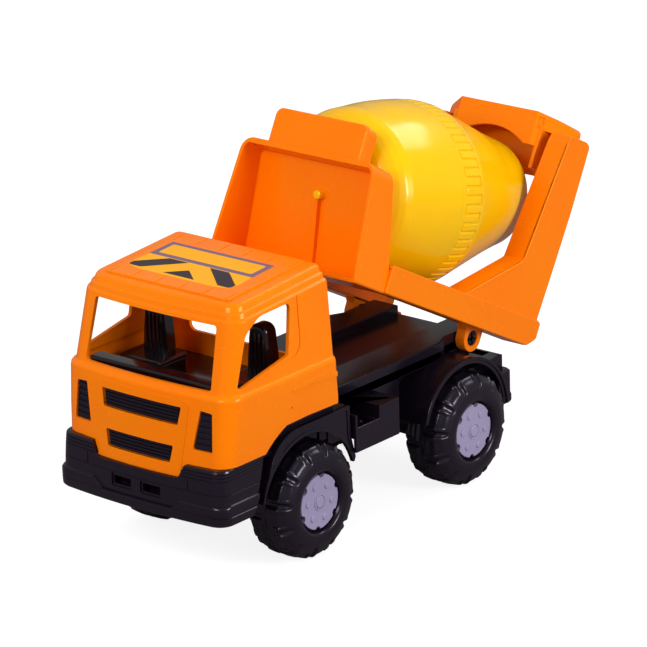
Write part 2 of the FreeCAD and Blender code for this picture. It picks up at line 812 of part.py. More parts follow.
def side_frame():
    """One side of the body: rail, gusset and post as a thin plate with inward flanges."""
    half, wall, lip = dim("body_half"), dim("body_wall"), dim("flange_inner")
    plate = [
        (-110.0, 5.4),
        (41.6, 6.4),
        (47.0, 10.0),
        (49.5, 14.0),
        (49.5, 21.5),
        (46.5, 23.4),
        (48.2, 57.0),
        (50.0, 94.0),
        (50.0, 131.5),
        (46.5, 135.4),
        (42.0, 136.6),
        (29.0, 136.6),
        (27.0, 133.0),
        (15.7, 54.5),
        (-30.6, 24.2),
        (-33.5, 23.0),
        (-109.0, 23.0),
    ]
    brace = [
        (29.0, 136.6),
        (27.0, 133.0),
        (15.7, 54.5),
        (-33.5, 23.0),
        (-29.8, 23.0),
        (17.6, 53.2),
        (29.2, 134.6),
        (50.0, 134.6),
        (50.0, 136.6),
    ]
    skin = pad_polygon("side_skin", "YZ_Plane", plate, half - wall, half)
    rail = box("rail_band", (half - 1.0, half + 0.6), (-109.4, 44.0), (6.6, 22.8))
    flange = pad_polygon("brace_flange", "YZ_Plane", brace, lip, half - 1.0)
    bottom = box("bottom_flange", (lip - 1.0, half - 1.0), (-112.0, 40.0), (6.2, 8.0))
    return fuse("side_frame", skin, rail, flange, bottom, hinge_lug())


def hinge_lug():
    """The round-ended lug under the rail that turns on the chassis pin."""
    inner, outer, radius = dim("lug_inner"), dim("lug_outer"), dim("lug_radius")
    disc = rod("lug_disc", "x", radius, inner, outer)
    neck = box("lug_neck", (inner, outer), (-radius, radius), (0.0, 7.0))
    gap = dim("running_gap")
    bore = rod("lug_bore", "x", dim("pin_radius") + gap, inner - 1.0, outer + 1.0)
    return cut("hinge_lug", fuse("lug_solid", disc, neck), bore)


def front_tray():
    """The front wall: a tray open towards the cab, wider at its foot, leaning forward."""
    body = new_body("tray")

    def level(name, height, half, front, back):
        outline = [(-half, front), (half, front), (half, back), (-half, back)]
        return sketch(body, "XY_Plane", name, outline, height)

    outer = [
        level("tray_foot", 5.4, 56.0, -140.0, -105.9),
        level("tray_head", 75.6, 50.3, -144.5, -124.8),
    ]
    loft(body, "AdditiveLoft", "tray_block", outer)
    inner = [
        level("tray_inner_foot", 7.4, 53.8, -146.0, -108.5),
        level("tray_inner_head", 72.6, 48.3, -148.0, -126.1),
    ]
    loft(body, "SubtractiveLoft", "tray_hollow", inner)
    return body


def tray_corners():
    """Cutters that round the tray's two top corners."""
    outline = [
        (44.0, 80.0),
        (44.0, 75.6),
        (47.0, 74.6),
        (49.3, 72.3),
        (50.6, 68.6),
        (60.0, 68.6),
        (60.0, 80.0),
    ]
    corner = pad_polygon("tray_corner", "XZ_Plane", outline, 118.0, 150.0)
    back = [(-124.6, 73.4), (-124.6, 80.0), (-150.0, 80.0), (-150.0, 75.6), (-144.5, 75.6)]
    slope = pad_polygon("tray_slope", "YZ_Plane", back, -60.0, 60.0)
    notch = box("tray_notch", (49.5, 60.0), (-124.0, -104.0), (8.0, 24.0))
    return [slope, *both_sides("tray_corner_other", corner), *both_sides("tray_notch_2", notch)]


def front_wall():
    """The tray, the closed panel standing on it, the stub's boss and the stiffening rib."""
    panel = [(-140.6, 73.0), (-126.0, 73.0), (-129.6, 96.4), (-138.4, 96.4), (-140.4, 94.4)]
    hollow = [(-138.6, 70.0), (-124.0, 71.0), (-127.4, 94.4), (-138.4, 94.4)]
    head = cut(
        "head_panel",
        pad_polygon("head_block", "YZ_Plane", panel, -34.6, 34.6),
        pad_polygon("head_hollow", "YZ_Plane", hollow, -32.6, 32.6),
    )
    rib = pad_polygon(
        "tray_rib",
        "YZ_Plane",
        [(-116.0, 6.4), (-107.5, 6.4), (-119.8, 51.0), (-125.6, 51.0), (-124.8, 44.0)],
        -0.6,
        0.6,
    )
    tray = cut("tray_shaped", front_tray(), *tray_corners())
    return fuse("front_wall", tray, head, rib)


def rear_hood():
    """The arch over the drum's rear end, with swept wings, and the web that carries the stub."""
    plan = [
        (-49.0, 48.0),
        (-49.0, 44.0),
        (-32.8, 24.5),
        (32.8, 24.5),
        (49.0, 44.0),
        (49.0, 48.0),
    ]
    inside = [
        (-50.0, 46.0),
        (-47.0, 44.6),
        (-31.6, 26.5),
        (31.6, 26.5),
        (47.0, 44.6),
        (50.0, 46.0),
    ]
    face = [
        (-49.0, 128.0),
        (-49.0, 142.2),
        (-32.8, 147.0),
        (32.8, 147.0),
        (49.0, 142.2),
        (49.0, 128.0),
    ]
    block = common(
        "hood_block",
        pad_polygon("hood_plan", "XY_Plane", plan, 100.0, 150.0),
        pad_polygon("hood_face", "XZ_Plane", face, -60.0, -20.0),
    )
    hollow = pad_polygon("hood_hollow", "XY_Plane", inside, 90.0, 140.2)
    arch = rod("hood_arch", "y", 45.0, 20.0, 45.0, (0, 0, 88.5))
    web = box("hood_web", (-56.0, 56.0), (46.0, 48.0), (110.0, 136.0))
    tongue = box("hood_tongue", (-16.0, 16.0), (45.5, 48.0), (84.0, 112.0))
    return fuse("rear_hood", cut("hood_shell", block, hollow, arch), web, tongue)


def along_drum(name, radius, start, end):
    """A cylinder on the drum's axis in the tipping body's frame, from start to end along it."""
    rise = math.radians(number(dim("drum_rise")))
    origin = Vector(0, -number(dim("stub_back")), number(dim("stub_height")))
    direction = Vector(0, math.cos(rise), math.sin(rise))
    solid = doc.addObject("Part::Cylinder", name)
    turn = Rotation(Vector(0, 0, 1), direction)
    solid.Placement = Placement(origin + direction * start, turn)
    drive(solid, "Radius", radius)
    drive(solid, "Height", end - start)
    return solid


def make_mixer_frame():
    """The orange tipping body."""
    sides = both_sides("side_frame_left", side_frame())
    front_boss = along_drum("front_boss", 4.8, 6.2, 9.6)
    rear_boss = along_drum("rear_boss", 7.0, 169.8, 178.0)
    solid = fuse("mixer_solid", *sides, front_wall(), rear_hood(), front_boss, rear_boss)
    fit = dim("stub_radius") + dim("running_gap")
    frame = cut(
        "mixer_frame",
        solid,
        along_drum("front_bore", fit, -5.0, 12.0),
        along_drum("rear_bore", fit, 160.0, 186.0),
    )
    frame.Placement = BODY_PLACEMENT
    return frame


def make_hinge_pins():
    """Two snap pins, each on the hinge axis and pressed into a chassis rail."""
    head = rod("pin_head", "x", dim("pin_radius"), dim("hinge_half") + 0.1, 46.4)
    shank = rod("pin_shank", "x", 2.5, 30.0, 41.0)
    slot = box("pin_slot", (43.0, 50.0), (-0.8, 0.8), (-6.0, 6.0))
    pin = cut("pin_right", fuse("pin_solid", head, shank), slot)
    group = doc.addObject("Part::Compound", "hinge_pins")
    group.Links = both_sides("pin_left", pin)
    drive(group, "Placement.Base.y", HINGE[1])
    drive(group, "Placement.Base.z", HINGE[2])
    return group


# ---------------------------------------------------------------- drum

def drum_placement():
    """Where the drum's own frame, +Y along its axis from the front stub's tip, stands."""
    rise = Rotation(Vector(1, 0, 0), number(dim("drum_rise")))
    origin = Vector(0, -number(dim("stub_back")), number(dim("stub_height")))
    return BODY_PLACEMENT.multiply(Placement(origin, rise))


def make_drum_front():
    """The closed front half: stub, rounded shoulder, barrel and the spigot inside the seam."""
    seam, skin = dim("drum_seam"), dim("drum_skin")
    stub = dim("stub_radius")
    profile = [
        (0.6, 0.0),
        (0.0, 0.6),
        (0.0, stub - 0.5),
        (0.5, stub),
        (10.5, stub),
        (10.5, 30.0),
        (11.6, 37.0),
        (14.6, 43.6),
        (19.0, 48.2),
        (25.0, 51.2),
        (32.0, 52.6),
        (46.0, 54.8),
        (60.0, 56.2),
        (seam, 56.6),
        (seam, 54.8),
        (seam + 7.0, 54.8),
        (seam + 7.0, 53.2),
        (seam - 3.0, 53.2),
        (46.0, dim("drum_band_radius") - 4.4),
        (32.0, 50.5),
        (26.0, 49.2),
        (20.4, 46.4),
        (16.4, 42.2),
        (13.6, 36.4),
        (10.5 + skin, 30.0),
        (10.5 + skin, 0.0),
    ]
    drum = revolved("drum_front", "YZ_Plane", profile, "H_Axis")
    drum.Placement = drum_placement()
    return drum


def make_drum_rear():
    """The rear half: raised band over the seam, cone, rounded end and rear stub."""
    seam, end, skin = dim("drum_seam"), dim("drum_end"), dim("drum_skin")
    band, stub = dim("drum_band_end"), dim("stub_radius")
    profile = [
        (end - skin, 0.0),
        (end - skin, 28.2),
        (end - 5.0, 31.8),
        (band, 53.6),
        (seam + 7.2, 54.9),
        (seam + 0.05, 54.9),
        (seam + 0.05, dim("drum_band_radius")),
        (band, dim("drum_band_radius") - 0.4),
        (band + 0.8, 55.8),
        (end - 5.4, 34.9),
        (end - 2.0, 33.2),
        (end - 0.4, 31.0),
        (end, 28.2),
        (end, stub),
        (end + 9.5, stub),
        (end + 10.0, stub - 0.5),
        (end + 10.0, 0.0),
    ]
    drum = revolved("drum_rear", "YZ_Plane", profile, "H_Axis")
    drum.Placement = drum_placement()
    return drum


# ---------------------------------------------------------------- assembly and export

def build():
    """Every sub-part by its node name."""
    parts = {
        "chassis": make_chassis(),
        "cab_screws": make_screws(),
        "cab_shell": make_cab_shell(),
        "cab_interior": make_cab_interior(),
        "grille_insert": make_grille_insert(),
        "roof_sticker": make_roof_sticker(),
        "mixer_frame": make_mixer_frame(),
        "hinge_pins": make_hinge_pins(),
        "drum_front": make_drum_front(),
        "drum_rear": make_drum_rear(),
    }
    for axle_name, axle_y in (("front", FRONT_AXLE), ("rear", REAR_AXLE)):
        parts[axle_name + "_axle"] = make_axle(axle_name + "_axle", axle_y)
        parts["axle_clip_" + axle_name] = make_axle_clip("axle_clip_" + axle_name, axle_y)
        for suffix, side in wheel_names(axle_name):
            parts["tyre_" + suffix] = make_tyre("tyre_" + suffix, axle_y, side)
            parts["hub_cap_" + suffix] = make_hub_cap("hub_cap_" + suffix, axle_y, side)
    return parts


def check(parts):
    """Stops with a plain message if any object failed or any sub-part isn't a valid solid."""
    faults = []
    for obj in doc.Objects:
        states = [state for state in obj.State if state in ("Invalid", "Error")]
        if states:
            faults.append("%s: %s" % (obj.Name, ", ".join(states)))
    for name, obj in parts.items():
        shape = obj.Shape
        if shape.isNull() or not shape.isValid() or not shape.Solids:
            faults.append(name + " has no valid solid")
    if faults:
        raise SystemExit("\n".join(faults))


def set_in_frame(name, part):
    """The node's own object: the piece moved so that the origin is under the truck's middle."""
    part.Label = name + "_about_the_axles"
    holder = doc.addObject("Part::Compound", name + "_node")
    holder.Label = name
    holder.Links = [part]
    drive(holder, "Placement.Base.y", -dim("middle_behind_axles"))
    return holder


def main():
    parts = {name: set_in_frame(name, part) for name, part in build().items()}
    doc.recompute()
    check(parts)
    os.makedirs("parts", exist_ok=True)
    for name, node in parts.items():
        node.Shape.exportStep("parts/%s.step" % name)
        print("%-22s solids %d volume %.0f" % (name, len(node.Shape.Solids), node.Shape.Volume))


main()
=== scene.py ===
"""Toy cement mixer truck: the shown model, built in the CAD model's frame.

All dimensions below are millimetres: +Z up, the cab faces -Y, and the origin is on the ground
midway between the axles. Lengths become metres as meshes are made, and each finished piece is
moved with TRUCK to where the CAD model has its axles.
The tipping body is drawn in its own frame, whose origin is the rear hinge's axis, and the
drum in a frame whose +Y runs along its axis from the tip of its front stub.
"""
import json
import math

import bmesh
import bpy
import numpy as np
from mathutils import Matrix, Vector

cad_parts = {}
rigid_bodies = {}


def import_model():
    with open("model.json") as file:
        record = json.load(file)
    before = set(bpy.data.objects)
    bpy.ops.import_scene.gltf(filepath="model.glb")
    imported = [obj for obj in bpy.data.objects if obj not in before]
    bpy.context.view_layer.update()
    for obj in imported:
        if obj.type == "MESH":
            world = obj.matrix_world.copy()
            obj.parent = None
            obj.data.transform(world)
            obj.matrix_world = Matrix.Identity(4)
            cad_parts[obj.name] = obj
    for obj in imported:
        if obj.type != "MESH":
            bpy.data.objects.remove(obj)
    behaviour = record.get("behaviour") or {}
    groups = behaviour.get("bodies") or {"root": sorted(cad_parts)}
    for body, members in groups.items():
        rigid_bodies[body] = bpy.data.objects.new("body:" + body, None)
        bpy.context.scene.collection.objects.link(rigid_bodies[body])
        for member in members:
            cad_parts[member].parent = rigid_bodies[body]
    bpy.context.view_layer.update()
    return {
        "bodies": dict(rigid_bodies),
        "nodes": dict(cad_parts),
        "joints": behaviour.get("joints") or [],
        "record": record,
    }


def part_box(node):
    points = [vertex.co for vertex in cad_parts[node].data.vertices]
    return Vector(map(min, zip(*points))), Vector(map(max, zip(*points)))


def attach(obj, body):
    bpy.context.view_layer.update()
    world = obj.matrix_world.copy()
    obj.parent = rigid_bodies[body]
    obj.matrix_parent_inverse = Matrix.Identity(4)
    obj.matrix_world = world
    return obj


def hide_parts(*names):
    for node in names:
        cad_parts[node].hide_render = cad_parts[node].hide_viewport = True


MM = 0.001
AXES = {"x": (1, 2, 0), "y": (0, 2, 1), "z": (0, 1, 2)}

WHEELBASE = 145.0
AXLE_Z = 35.0
FRONT_AXLE, REAR_AXLE = -WHEELBASE / 2, WHEELBASE / 2
HINGE = Vector((0, 97.5, 82.6))
BODY_TILT = math.radians(-28.0)
DRUM_RISE = math.radians(14.0)
STUB_TIP = Vector((0, -126.0, 52.2))

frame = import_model()


def middle(name):
    low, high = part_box(name)
    return (low.y + high.y) / 2


TRUCK = Matrix.Translation((0, (middle("front_axle") + middle("rear_axle")) / 2, 0))


def shift(x, y, z):
    return Matrix.Translation((x * MM, y * MM, z * MM))


BODY = shift(*HINGE) @ Matrix.Rotation(BODY_TILT, 4, "X")
DRUM = BODY @ shift(*STUB_TIP) @ Matrix.Rotation(DRUM_RISE, 4, "X")


# ------------------------------------------------------------------ outlines

def rounded(points, radius, steps=4):
    """The closed outline with each corner replaced by an arc; radius may be one per corner."""
    result = []
    count = len(points)
    for i in range(count):
        corner = Vector(points[i])
        before = Vector(points[i - 1]) - corner
        after = Vector(points[(i + 1) % count]) - corner
        wanted = radius[i] if isinstance(radius, (list, tuple)) else radius
        half = before.angle(after) / 2
        if wanted <= 0 or half > math.radians(88):
            result.append(tuple(corner))
            continue
        reach = min(wanted / math.tan(half), 0.48 * before.length, 0.48 * after.length)
        true = reach * math.tan(half)
        before.normalize()
        after.normalize()
        centre = corner + (before + after).normalized() * (true / math.sin(half))
        first = corner + before * reach - centre
        last = corner + after * reach - centre
        turn = first.angle_signed(last)
        for k in range(steps + 1):
            angle = -turn * k / steps
            cosine, sine = math.cos(angle), math.sin(angle)
            result.append((
                centre.x + first.x * cosine - first.y * sine,
                centre.y + first.x * sine + first.y * cosine,
            ))
    return result


def arc(centre, radius, start, end, steps):
    """Points on an arc round a centre, between two angles in degrees."""
    angles = [math.radians(start + (end - start) * k / steps) for k in range(steps + 1)]
    return [(centre[0] + radius * math.cos(a), centre[1] + radius * math.sin(a)) for a in angles]


def round_spots(count, radius, start):
    """Points spaced evenly round a circle, from a starting angle in degrees."""
    return arc((0, 0), radius, start, start + 360.0 * (count - 1) / count, count - 1)


def mirror_outline(right):
    """A closed outline from its right half, listed from one end to the other."""
    return list(right) + [(-a, b) for a, b in reversed(right)]


# ------------------------------------------------------------------ solids as bmeshes

def make(verts, faces):
    """A bmesh in metres from points in millimetres, with its faces turned outwards."""
    bm = bmesh.new()
    made = [bm.verts.new((v[0] * MM, v[1] * MM, v[2] * MM)) for v in verts]
    for face in faces:
        bm.faces.new([made[i] for i in face])
    bmesh.ops.recalc_face_normals(bm, faces=bm.faces)
    return bm


def prism(axis, outline, low, high, soft=0.0, segments=2):
    """The outline drawn across one axis, run from low to high, with softened edges."""
    first, second, along = AXES[axis]
    verts = []
    for end in (low, high):
        for a, b in outline:
            point = [0.0, 0.0, 0.0]
            point[first], point[second], point[along] = a, b, end
            verts.append(point)
    n = len(outline)
    faces = [list(range(n)), list(range(n, 2 * n))]
    faces += [[i, (i + 1) % n, n + (i + 1) % n, n + i] for i in range(n)]
    bm = make(verts, faces)
    return soften(bm, soft, segments) if soft else bm


def block(x, y, z, soft=0.0, segments=2):
    """A box from its (low, high) pairs."""
    outline = [(x[0], y[0]), (x[1], y[0]), (x[1], y[1]), (x[0], y[1])]
    return prism("z", outline, z[0], z[1], soft, segments)


def loft(rings):
    """A closed solid through rings that all have the same number of points."""
    n = len(rings[0])
    verts = [point for ring in rings for point in ring]
    faces = [list(range(n)), list(range((len(rings) - 1) * n, len(rings) * n))]
    for k in range(len(rings) - 1):
        base = k * n
        for i in range(n):
            j = (i + 1) % n
            faces.append([base + i, base + j, base + n + j, base + n + i])
    return make(verts, faces)


def turn(profile, steps=96):
    """A closed (along, radius) profile turned about the Y axis; points on the axis are shared."""
    verts, rows = [], []
    for along, radius in profile:
        if radius < 1e-6:
            rows.append([len(verts)] * steps)
            verts.append((0.0, along, 0.0))
            continue
        rows.append(list(range(len(verts), len(verts) + steps)))
        for k in range(steps):
            angle = 2 * math.pi * k / steps
            verts.append((radius * math.cos(angle), along, radius * math.sin(angle)))
    faces = []
    count = len(rows)
    closed = profile[0][1] > 1e-6 or profile[-1][1] > 1e-6
    for r in range(count if closed else count - 1):
        near, far = rows[r], rows[(r + 1) % count]
        for k in range(steps):
            m = (k + 1) % steps
            ring = []
            for index in (near[k], near[m], far[m], far[k]):
                if index not in ring:
                    ring.append(index)
            if len(ring) > 2:
                faces.append(ring)
    return make(verts, faces)


def rod(axis, radius, low, high, centre=(0, 0), steps=32, soft=0.0, segments=2):
    """A cylinder along an axis; centre gives its other two coordinates in axis order."""
    outline = arc(centre, radius, 0.0, 360.0 * (steps - 1) / steps, steps - 1)
    return prism(axis, outline, low, high, soft, segments)


def rows_closed(verts, count, steps):
    """A closed solid through rows of points, each joined to the next and the last to the first."""
    faces = []
    for i in range(count):
        near, far = i * steps, (i + 1) % count * steps
        for k in range(steps):
            m = (k + 1) % steps
            faces.append((near + k, near + m, far + m, far + k))
    return make(verts, faces)


def soften(bm, width, segments=2, angle=28.0):
    """Rounds every edge sharper than the angle."""
    limit = math.radians(angle)
    edges = [e for e in bm.edges if len(e.link_faces) == 2 and e.calc_face_angle(0.0) > limit]
    bmesh.ops.bevel(
        bm,
        geom=edges,
        offset=width * MM,
        offset_type="OFFSET",
        segments=segments,
        profile=0.5,
        affect="EDGES",
        clamp_overlap=True,
    )
    return bm


def moved(bm, matrix):
    """The solid moved by a matrix in metres."""
    bmesh.ops.transform(bm, matrix=matrix, verts=bm.verts)
    if matrix.determinant() < 0:
        bmesh.ops.reverse_faces(bm, faces=bm.faces)
    return bm


def copied(bm, matrix=None):
    twin = bm.copy()
    return moved(twin, matrix) if matrix is not None else twin


FLIP = Matrix.Scale(-1, 4, (1, 0, 0))


def paired(*solids):
    """The solids together with their mirror images across the truck's centre plane."""
    return list(solids) + [copied(bm, FLIP) for bm in solids]


def joined(solids):
    """All the solids in one bmesh, without welding them."""
    result = bmesh.new()
    for bm in solids:
        data = bpy.data.meshes.new("part")
        bm.to_mesh(data)
        bm.free()
        result.from_mesh(data)
        bpy.data.meshes.remove(data)
    return result


def temporary(bm, name):
    data = bpy.data.meshes.new(name)
    bm.to_mesh(data)
    obj = bpy.data.objects.new(name, data)
    bpy.context.collection.objects.link(obj)
    return obj


def combine(base, tools, operation):
    """The base with each tool cut away or added, by exact booleans, coplanar faces merged."""
    target = temporary(base, "target")
    helpers = [temporary(tool, "tool") for tool in tools]
    for helper in helpers:
        step = target.modifiers.new("step", "BOOLEAN")
        step.operation = operation
        step.solver = "EXACT"
        step.object = helper
    graph = bpy.context.evaluated_depsgraph_get()
    graph.update()
    result = bmesh.new()
    evaluated = target.evaluated_get(graph)
    result.from_mesh(evaluated.to_mesh())
    evaluated.to_mesh_clear()
    for obj in [target] + helpers:
        data = obj.data
        bpy.data.objects.remove(obj)
        bpy.data.meshes.remove(data)
    for bm in [base] + tools:
        bm.free()
    bmesh.ops.remove_doubles(result, verts=result.verts, dist=2e-6)
    bmesh.ops.dissolve_limit(
        result, angle_limit=math.radians(0.4), verts=result.verts, edges=result.edges
    )
    bmesh.ops.recalc_face_normals(result, faces=result.faces)
    return result


def carved(base, *tools):
    return combine(base, list(tools), "DIFFERENCE")


def welded(base, *tools):
    return combine(base, list(tools), "UNION")


def piece(name, solids, material, body, nodes, angle=34.0):
    """A shown piece: the solids in one smooth-shaded mesh that rides a body."""
    bm = moved(joined(solids), TRUCK)
    data = bpy.data.meshes.new(name)
    bm.to_mesh(data)
    bm.free()
    data.polygons.foreach_set("use_smooth", [True] * len(data.polygons))
    data.set_sharp_from_angle(angle=math.radians(angle))
    obj = bpy.data.objects.new(name, data)
    bpy.context.collection.objects.link(obj)
    data.materials.append(material)
    normals = obj.modifiers.new("normals", "WEIGHTED_NORMAL")
    normals.keep_sharp = True
    normals.weight = 80
    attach(obj, body)
    if nodes:
        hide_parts(*nodes)
    return obj


# ------------------------------------------------------------------ materials

def rgb(red, green, blue):
    """A display colour, 0 to 255, as linear light."""
    def linear(value):
        value /= 255.0
        return value / 12.92 if value <= 0.04045 else ((value + 0.055) / 1.055) ** 2.4
    return (linear(red), linear(green), linear(blue), 1.0)


class Nodes:
    """Short calls for wiring one material's node tree."""

    def __init__(self, name):
        self.material = bpy.data.materials.new(name)
        self.material.use_nodes = True
        self.tree = self.material.node_tree
        self.tree.nodes.clear()
        self.output = self.tree.nodes.new("ShaderNodeOutputMaterial")
        self.shader = self.tree.nodes.new("ShaderNodeBsdfPrincipled")
        self.link(self.shader.outputs[0], self.output.inputs[0])
        self.place = self.tree.nodes.new("ShaderNodeTexCoord").outputs["Object"]

    def link(self, source, target):
        self.tree.links.new(source, target)

    def noise(self, scale, detail=3.0):
        node = self.tree.nodes.new("ShaderNodeTexNoise")
        node.inputs["Scale"].default_value = scale
        node.inputs["Detail"].default_value = detail
        self.link(self.place, node.inputs["Vector"])
        return node.outputs[0]

    def spread(self, source, low, high, start=0.3, end=0.7):
        node = self.tree.nodes.new("ShaderNodeMapRange")
        node.inputs["From Min"].default_value = start
        node.inputs["From Max"].default_value = end
        node.inputs["To Min"].default_value = low
        node.inputs["To Max"].default_value = high
        self.link(source, node.inputs["Value"])
        return node.outputs[0]

    def mix(self, factor, first, second):
        node = self.tree.nodes.new("ShaderNodeMix")
        node.data_type = "RGBA"
        for value, socket in ((factor, 0), (first, 6), (second, 7)):
            if hasattr(value, "links"):
                self.link(value, node.inputs[socket])
            else:
                node.inputs[socket].default_value = value
        return node.outputs[2]

    def math(self, operation, first, second):
        node = self.tree.nodes.new("ShaderNodeMath")
        node.operation = operation
        for index, value in enumerate((first, second)):
            if hasattr(value, "links"):
                self.link(value, node.inputs[index])
            else:
                node.inputs[index].default_value = value
        return node.outputs[0]

    def bump(self, height, strength, distance):
        node = self.tree.nodes.new("ShaderNodeBump")
        node.inputs["Strength"].default_value = strength
        node.inputs["Distance"].default_value = distance
        self.link(height, node.inputs["Height"])
        self.link(node.outputs[0], self.shader.inputs["Normal"])


def plastic(name, colour, shade, rough, grain=0.01, coat=0.0, inner=0.0, tint=None, sheen=None):
    """Moulded plastic: two close tones, uneven gloss and a faint uneven skin.

    inner and tint set the light that spreads inside it, sheen colours its reflections.
    """
    n = Nodes(name)
    tone = n.spread(n.noise(14.0, 2.0), 0.0, 1.0)
    n.link(n.mix(tone, colour, shade), n.shader.inputs["Base Color"])
    clouds = n.spread(n.noise(45.0, 4.0), rough * 0.85, rough * 1.2)
    scuffs = n.spread(n.noise(120.0, 2.0), 0.0, 0.03, 0.5, 0.8)
    n.link(n.math("ADD", clouds, scuffs), n.shader.inputs["Roughness"])
    height = n.math("ADD", n.noise(55.0, 2.0), n.math("MULTIPLY", n.noise(700.0, 2.0), grain))
    n.bump(height, 0.06, 0.0012)
    n.shader.inputs["IOR"].default_value = 1.48
    if sheen:
        n.shader.inputs["Specular Tint"].default_value = sheen
    n.shader.inputs["Coat Weight"].default_value = coat
    n.shader.inputs["Coat Roughness"].default_value = 0.08
    if inner:
        n.shader.inputs["Subsurface Weight"].default_value = inner
        n.shader.inputs["Subsurface Radius"].default_value = tint or (1.0, 0.4, 0.1)
        n.shader.inputs["Subsurface Scale"].default_value = 0.004
    return n.material


def steel(name):
    n = Nodes(name)
    n.link(n.mix(n.noise(200.0), rgb(150, 150, 155), rgb(185, 185, 190)),
           n.shader.inputs["Base Color"])
    n.shader.inputs["Metallic"].default_value = 1.0
    n.link(n.spread(n.noise(500.0), 0.22, 0.4), n.shader.inputs["Roughness"])
    n.bump(n.noise(1500.0), 0.1, 0.0002)
    return n.material


WARM = (1.0, 0.62, 0.2, 1.0)
ORANGE = plastic("orange_plastic", rgb(255, 130, 0), rgb(255, 123, 0), 0.24, coat=0.06,
                 inner=0.12, tint=(1.0, 0.25, 0.02), sheen=WARM)
YELLOW = plastic("yellow_plastic", rgb(255, 198, 0), rgb(255, 190, 0), 0.2, coat=0.15,
                 inner=0.3, tint=(1.0, 0.5, 0.05), sheen=(1.0, 0.85, 0.5, 1.0))
BLACK = plastic("black_plastic", rgb(20, 14, 24), rgb(15, 10, 19), 0.2, sheen=(0.9, 0.8, 1.0, 1.0))
SEATS = plastic("cab_black", rgb(18, 12, 18), rgb(13, 9, 14), 0.14, coat=0.3)
TYRE = plastic("tyre_black", rgb(19, 14, 23), rgb(14, 10, 18), 0.25, grain=0.02,
               sheen=(0.9, 0.8, 1.0, 1.0))
GREY = plastic("hub_grey", rgb(158, 150, 182), rgb(148, 140, 172), 0.3, grain=0.02)
STEEL = steel("bright_steel")
STRIPE_YELLOW = plastic("label_yellow", rgb(255, 176, 16), rgb(252, 168, 12), 0.4, sheen=WARM)
STRIPE_DARK = plastic("label_dark", rgb(52, 40, 52), rgb(46, 36, 47), 0.4)
STRIPE_EDGE = plastic("label_edge", rgb(124, 98, 126), rgb(116, 92, 118), 0.4)


# ------------------------------------------------------------------ cab

ROOF_RISE = 0.068
CAB_ARCH_RADIUS = 58.0


def roof_z(y):
    return 166.8 + ROOF_RISE * (y + 140.0)


def cab_outline(half, front, rear, bow, corner, round_rear=2.5):
    """Plan outline of the cab, from the right rear corner forward and round to the left."""
    right = arc((half - round_rear, rear - round_rear), round_rear, 90.0, 0.0, 3)
    side_end = front + corner
    for k in range(1, 6):
        right.append((half, rear - round_rear + (side_end - rear + round_rear) * k / 6))
    right += arc((half - corner, side_end), corner, 0.0, -90.0, 8)
    reach = half - corner
    for k in range(1, 6):
        x = reach * (1 - k / 6)
        right.append((x, front - bow * (1 - (x / reach) ** 2)))
    return mirror_outline(right)


CAB_WALLS = (
    (60.0, 61.0, -150.6, -47.1, 4.4, 12.0),
    (76.0, 61.9, -149.4, -47.3, 4.1, 12.0),
    (92.0, 62.9, -148.0, -47.6, 3.8, 12.0),
    (106.0, 63.5, -146.6, -49.4, 3.4, 12.0),
    (114.4, 63.8, -145.8, -49.9, 3.2, 12.0),
    (116.0, 63.7, -145.4, -50.0, 3.2, 12.0),
    (117.0, 63.2, -144.7, -50.1, 3.2, 12.0),
    (117.5, 62.5, -143.8, -50.2, 3.1, 12.0),
    (118.0, 62.1, -143.1, -50.2, 3.0, 12.0),
    (119.2, 61.9, -142.7, -50.2, 3.0, 12.0),
)
CAB_ROOF = (
    (10.4, 59.8, -133.4, -51.2, 2.4, 11.0),
    (8.8, 59.4, -132.9, -51.4, 2.4, 10.8),
    (8.2, 58.6, -132.2, -51.6, 2.4, 10.4),
    (7.8, 57.9, -131.7, -51.8, 2.4, 10.0),
    (5.2, 57.2, -130.9, -52.0, 2.4, 9.6),
    (4.7, 56.4, -130.2, -52.1, 2.3, 9.2),
    (4.3, 55.7, -129.7, -52.2, 2.3, 9.0),
    (1.9, 55.0, -128.8, -52.2, 2.2, 8.6),
    (0.9, 54.3, -128.0, -52.4, 2.2, 8.2),
    (0.25, 53.3, -127.0, -52.9, 2.1, 7.8),
    (0.0, 52.2, -126.0, -53.8, 2.0, 7.4),
)


def cab_rings(grow, drop):
    """Rings of the cab from skirt to roof, grown outwards, with the roof lowered by drop."""
    rings = []
    for z, half, front, rear, bow, corner in CAB_WALLS:
        outline = cab_outline(half + grow, front - grow, rear + grow, bow, corner + grow)
        rings.append([(x, y, z) for x, y in outline])
    for depth, half, front, rear, bow, corner in CAB_ROOF:
        outline = cab_outline(half + grow, front - grow, rear + grow, bow, corner + grow)
        rings.append([(x, y, roof_z(y) - depth - drop) for x, y in outline])
    return rings


def side_x(z):
    """How far out the cab's side stands at a height above the belt."""
    return 61.9 + (59.8 - 61.9) * (z - 119.2) / (160.0 - 119.2)


def groove(points, width, depth, wall):
    """A cutter that follows (y, z) points on the right side, as deep as asked."""
    solids = []
    for (y0, z0), (y1, z1) in zip(points, points[1:]):
        along = Vector((y1 - y0, z1 - z0)).normalized()
        across = Vector((-along.y, along.x)) * width / 2
        along *= width / 2
        corners = [
            (y0 - along.x + across.x, z0 - along.y + across.y),
            (y0 - along.x - across.x, z0 - along.y - across.y),
            (y1 + along.x - across.x, z1 + along.y - across.y),
            (y1 + along.x + across.x, z1 + along.y + across.y),
        ]
        inner = [(wall(z) - depth, y, z) for y, z in corners]
        outer = [(wall(z) + 3.0, y, z) for y, z in corners]
        solids.append(loft([inner, outer]))
    return solids


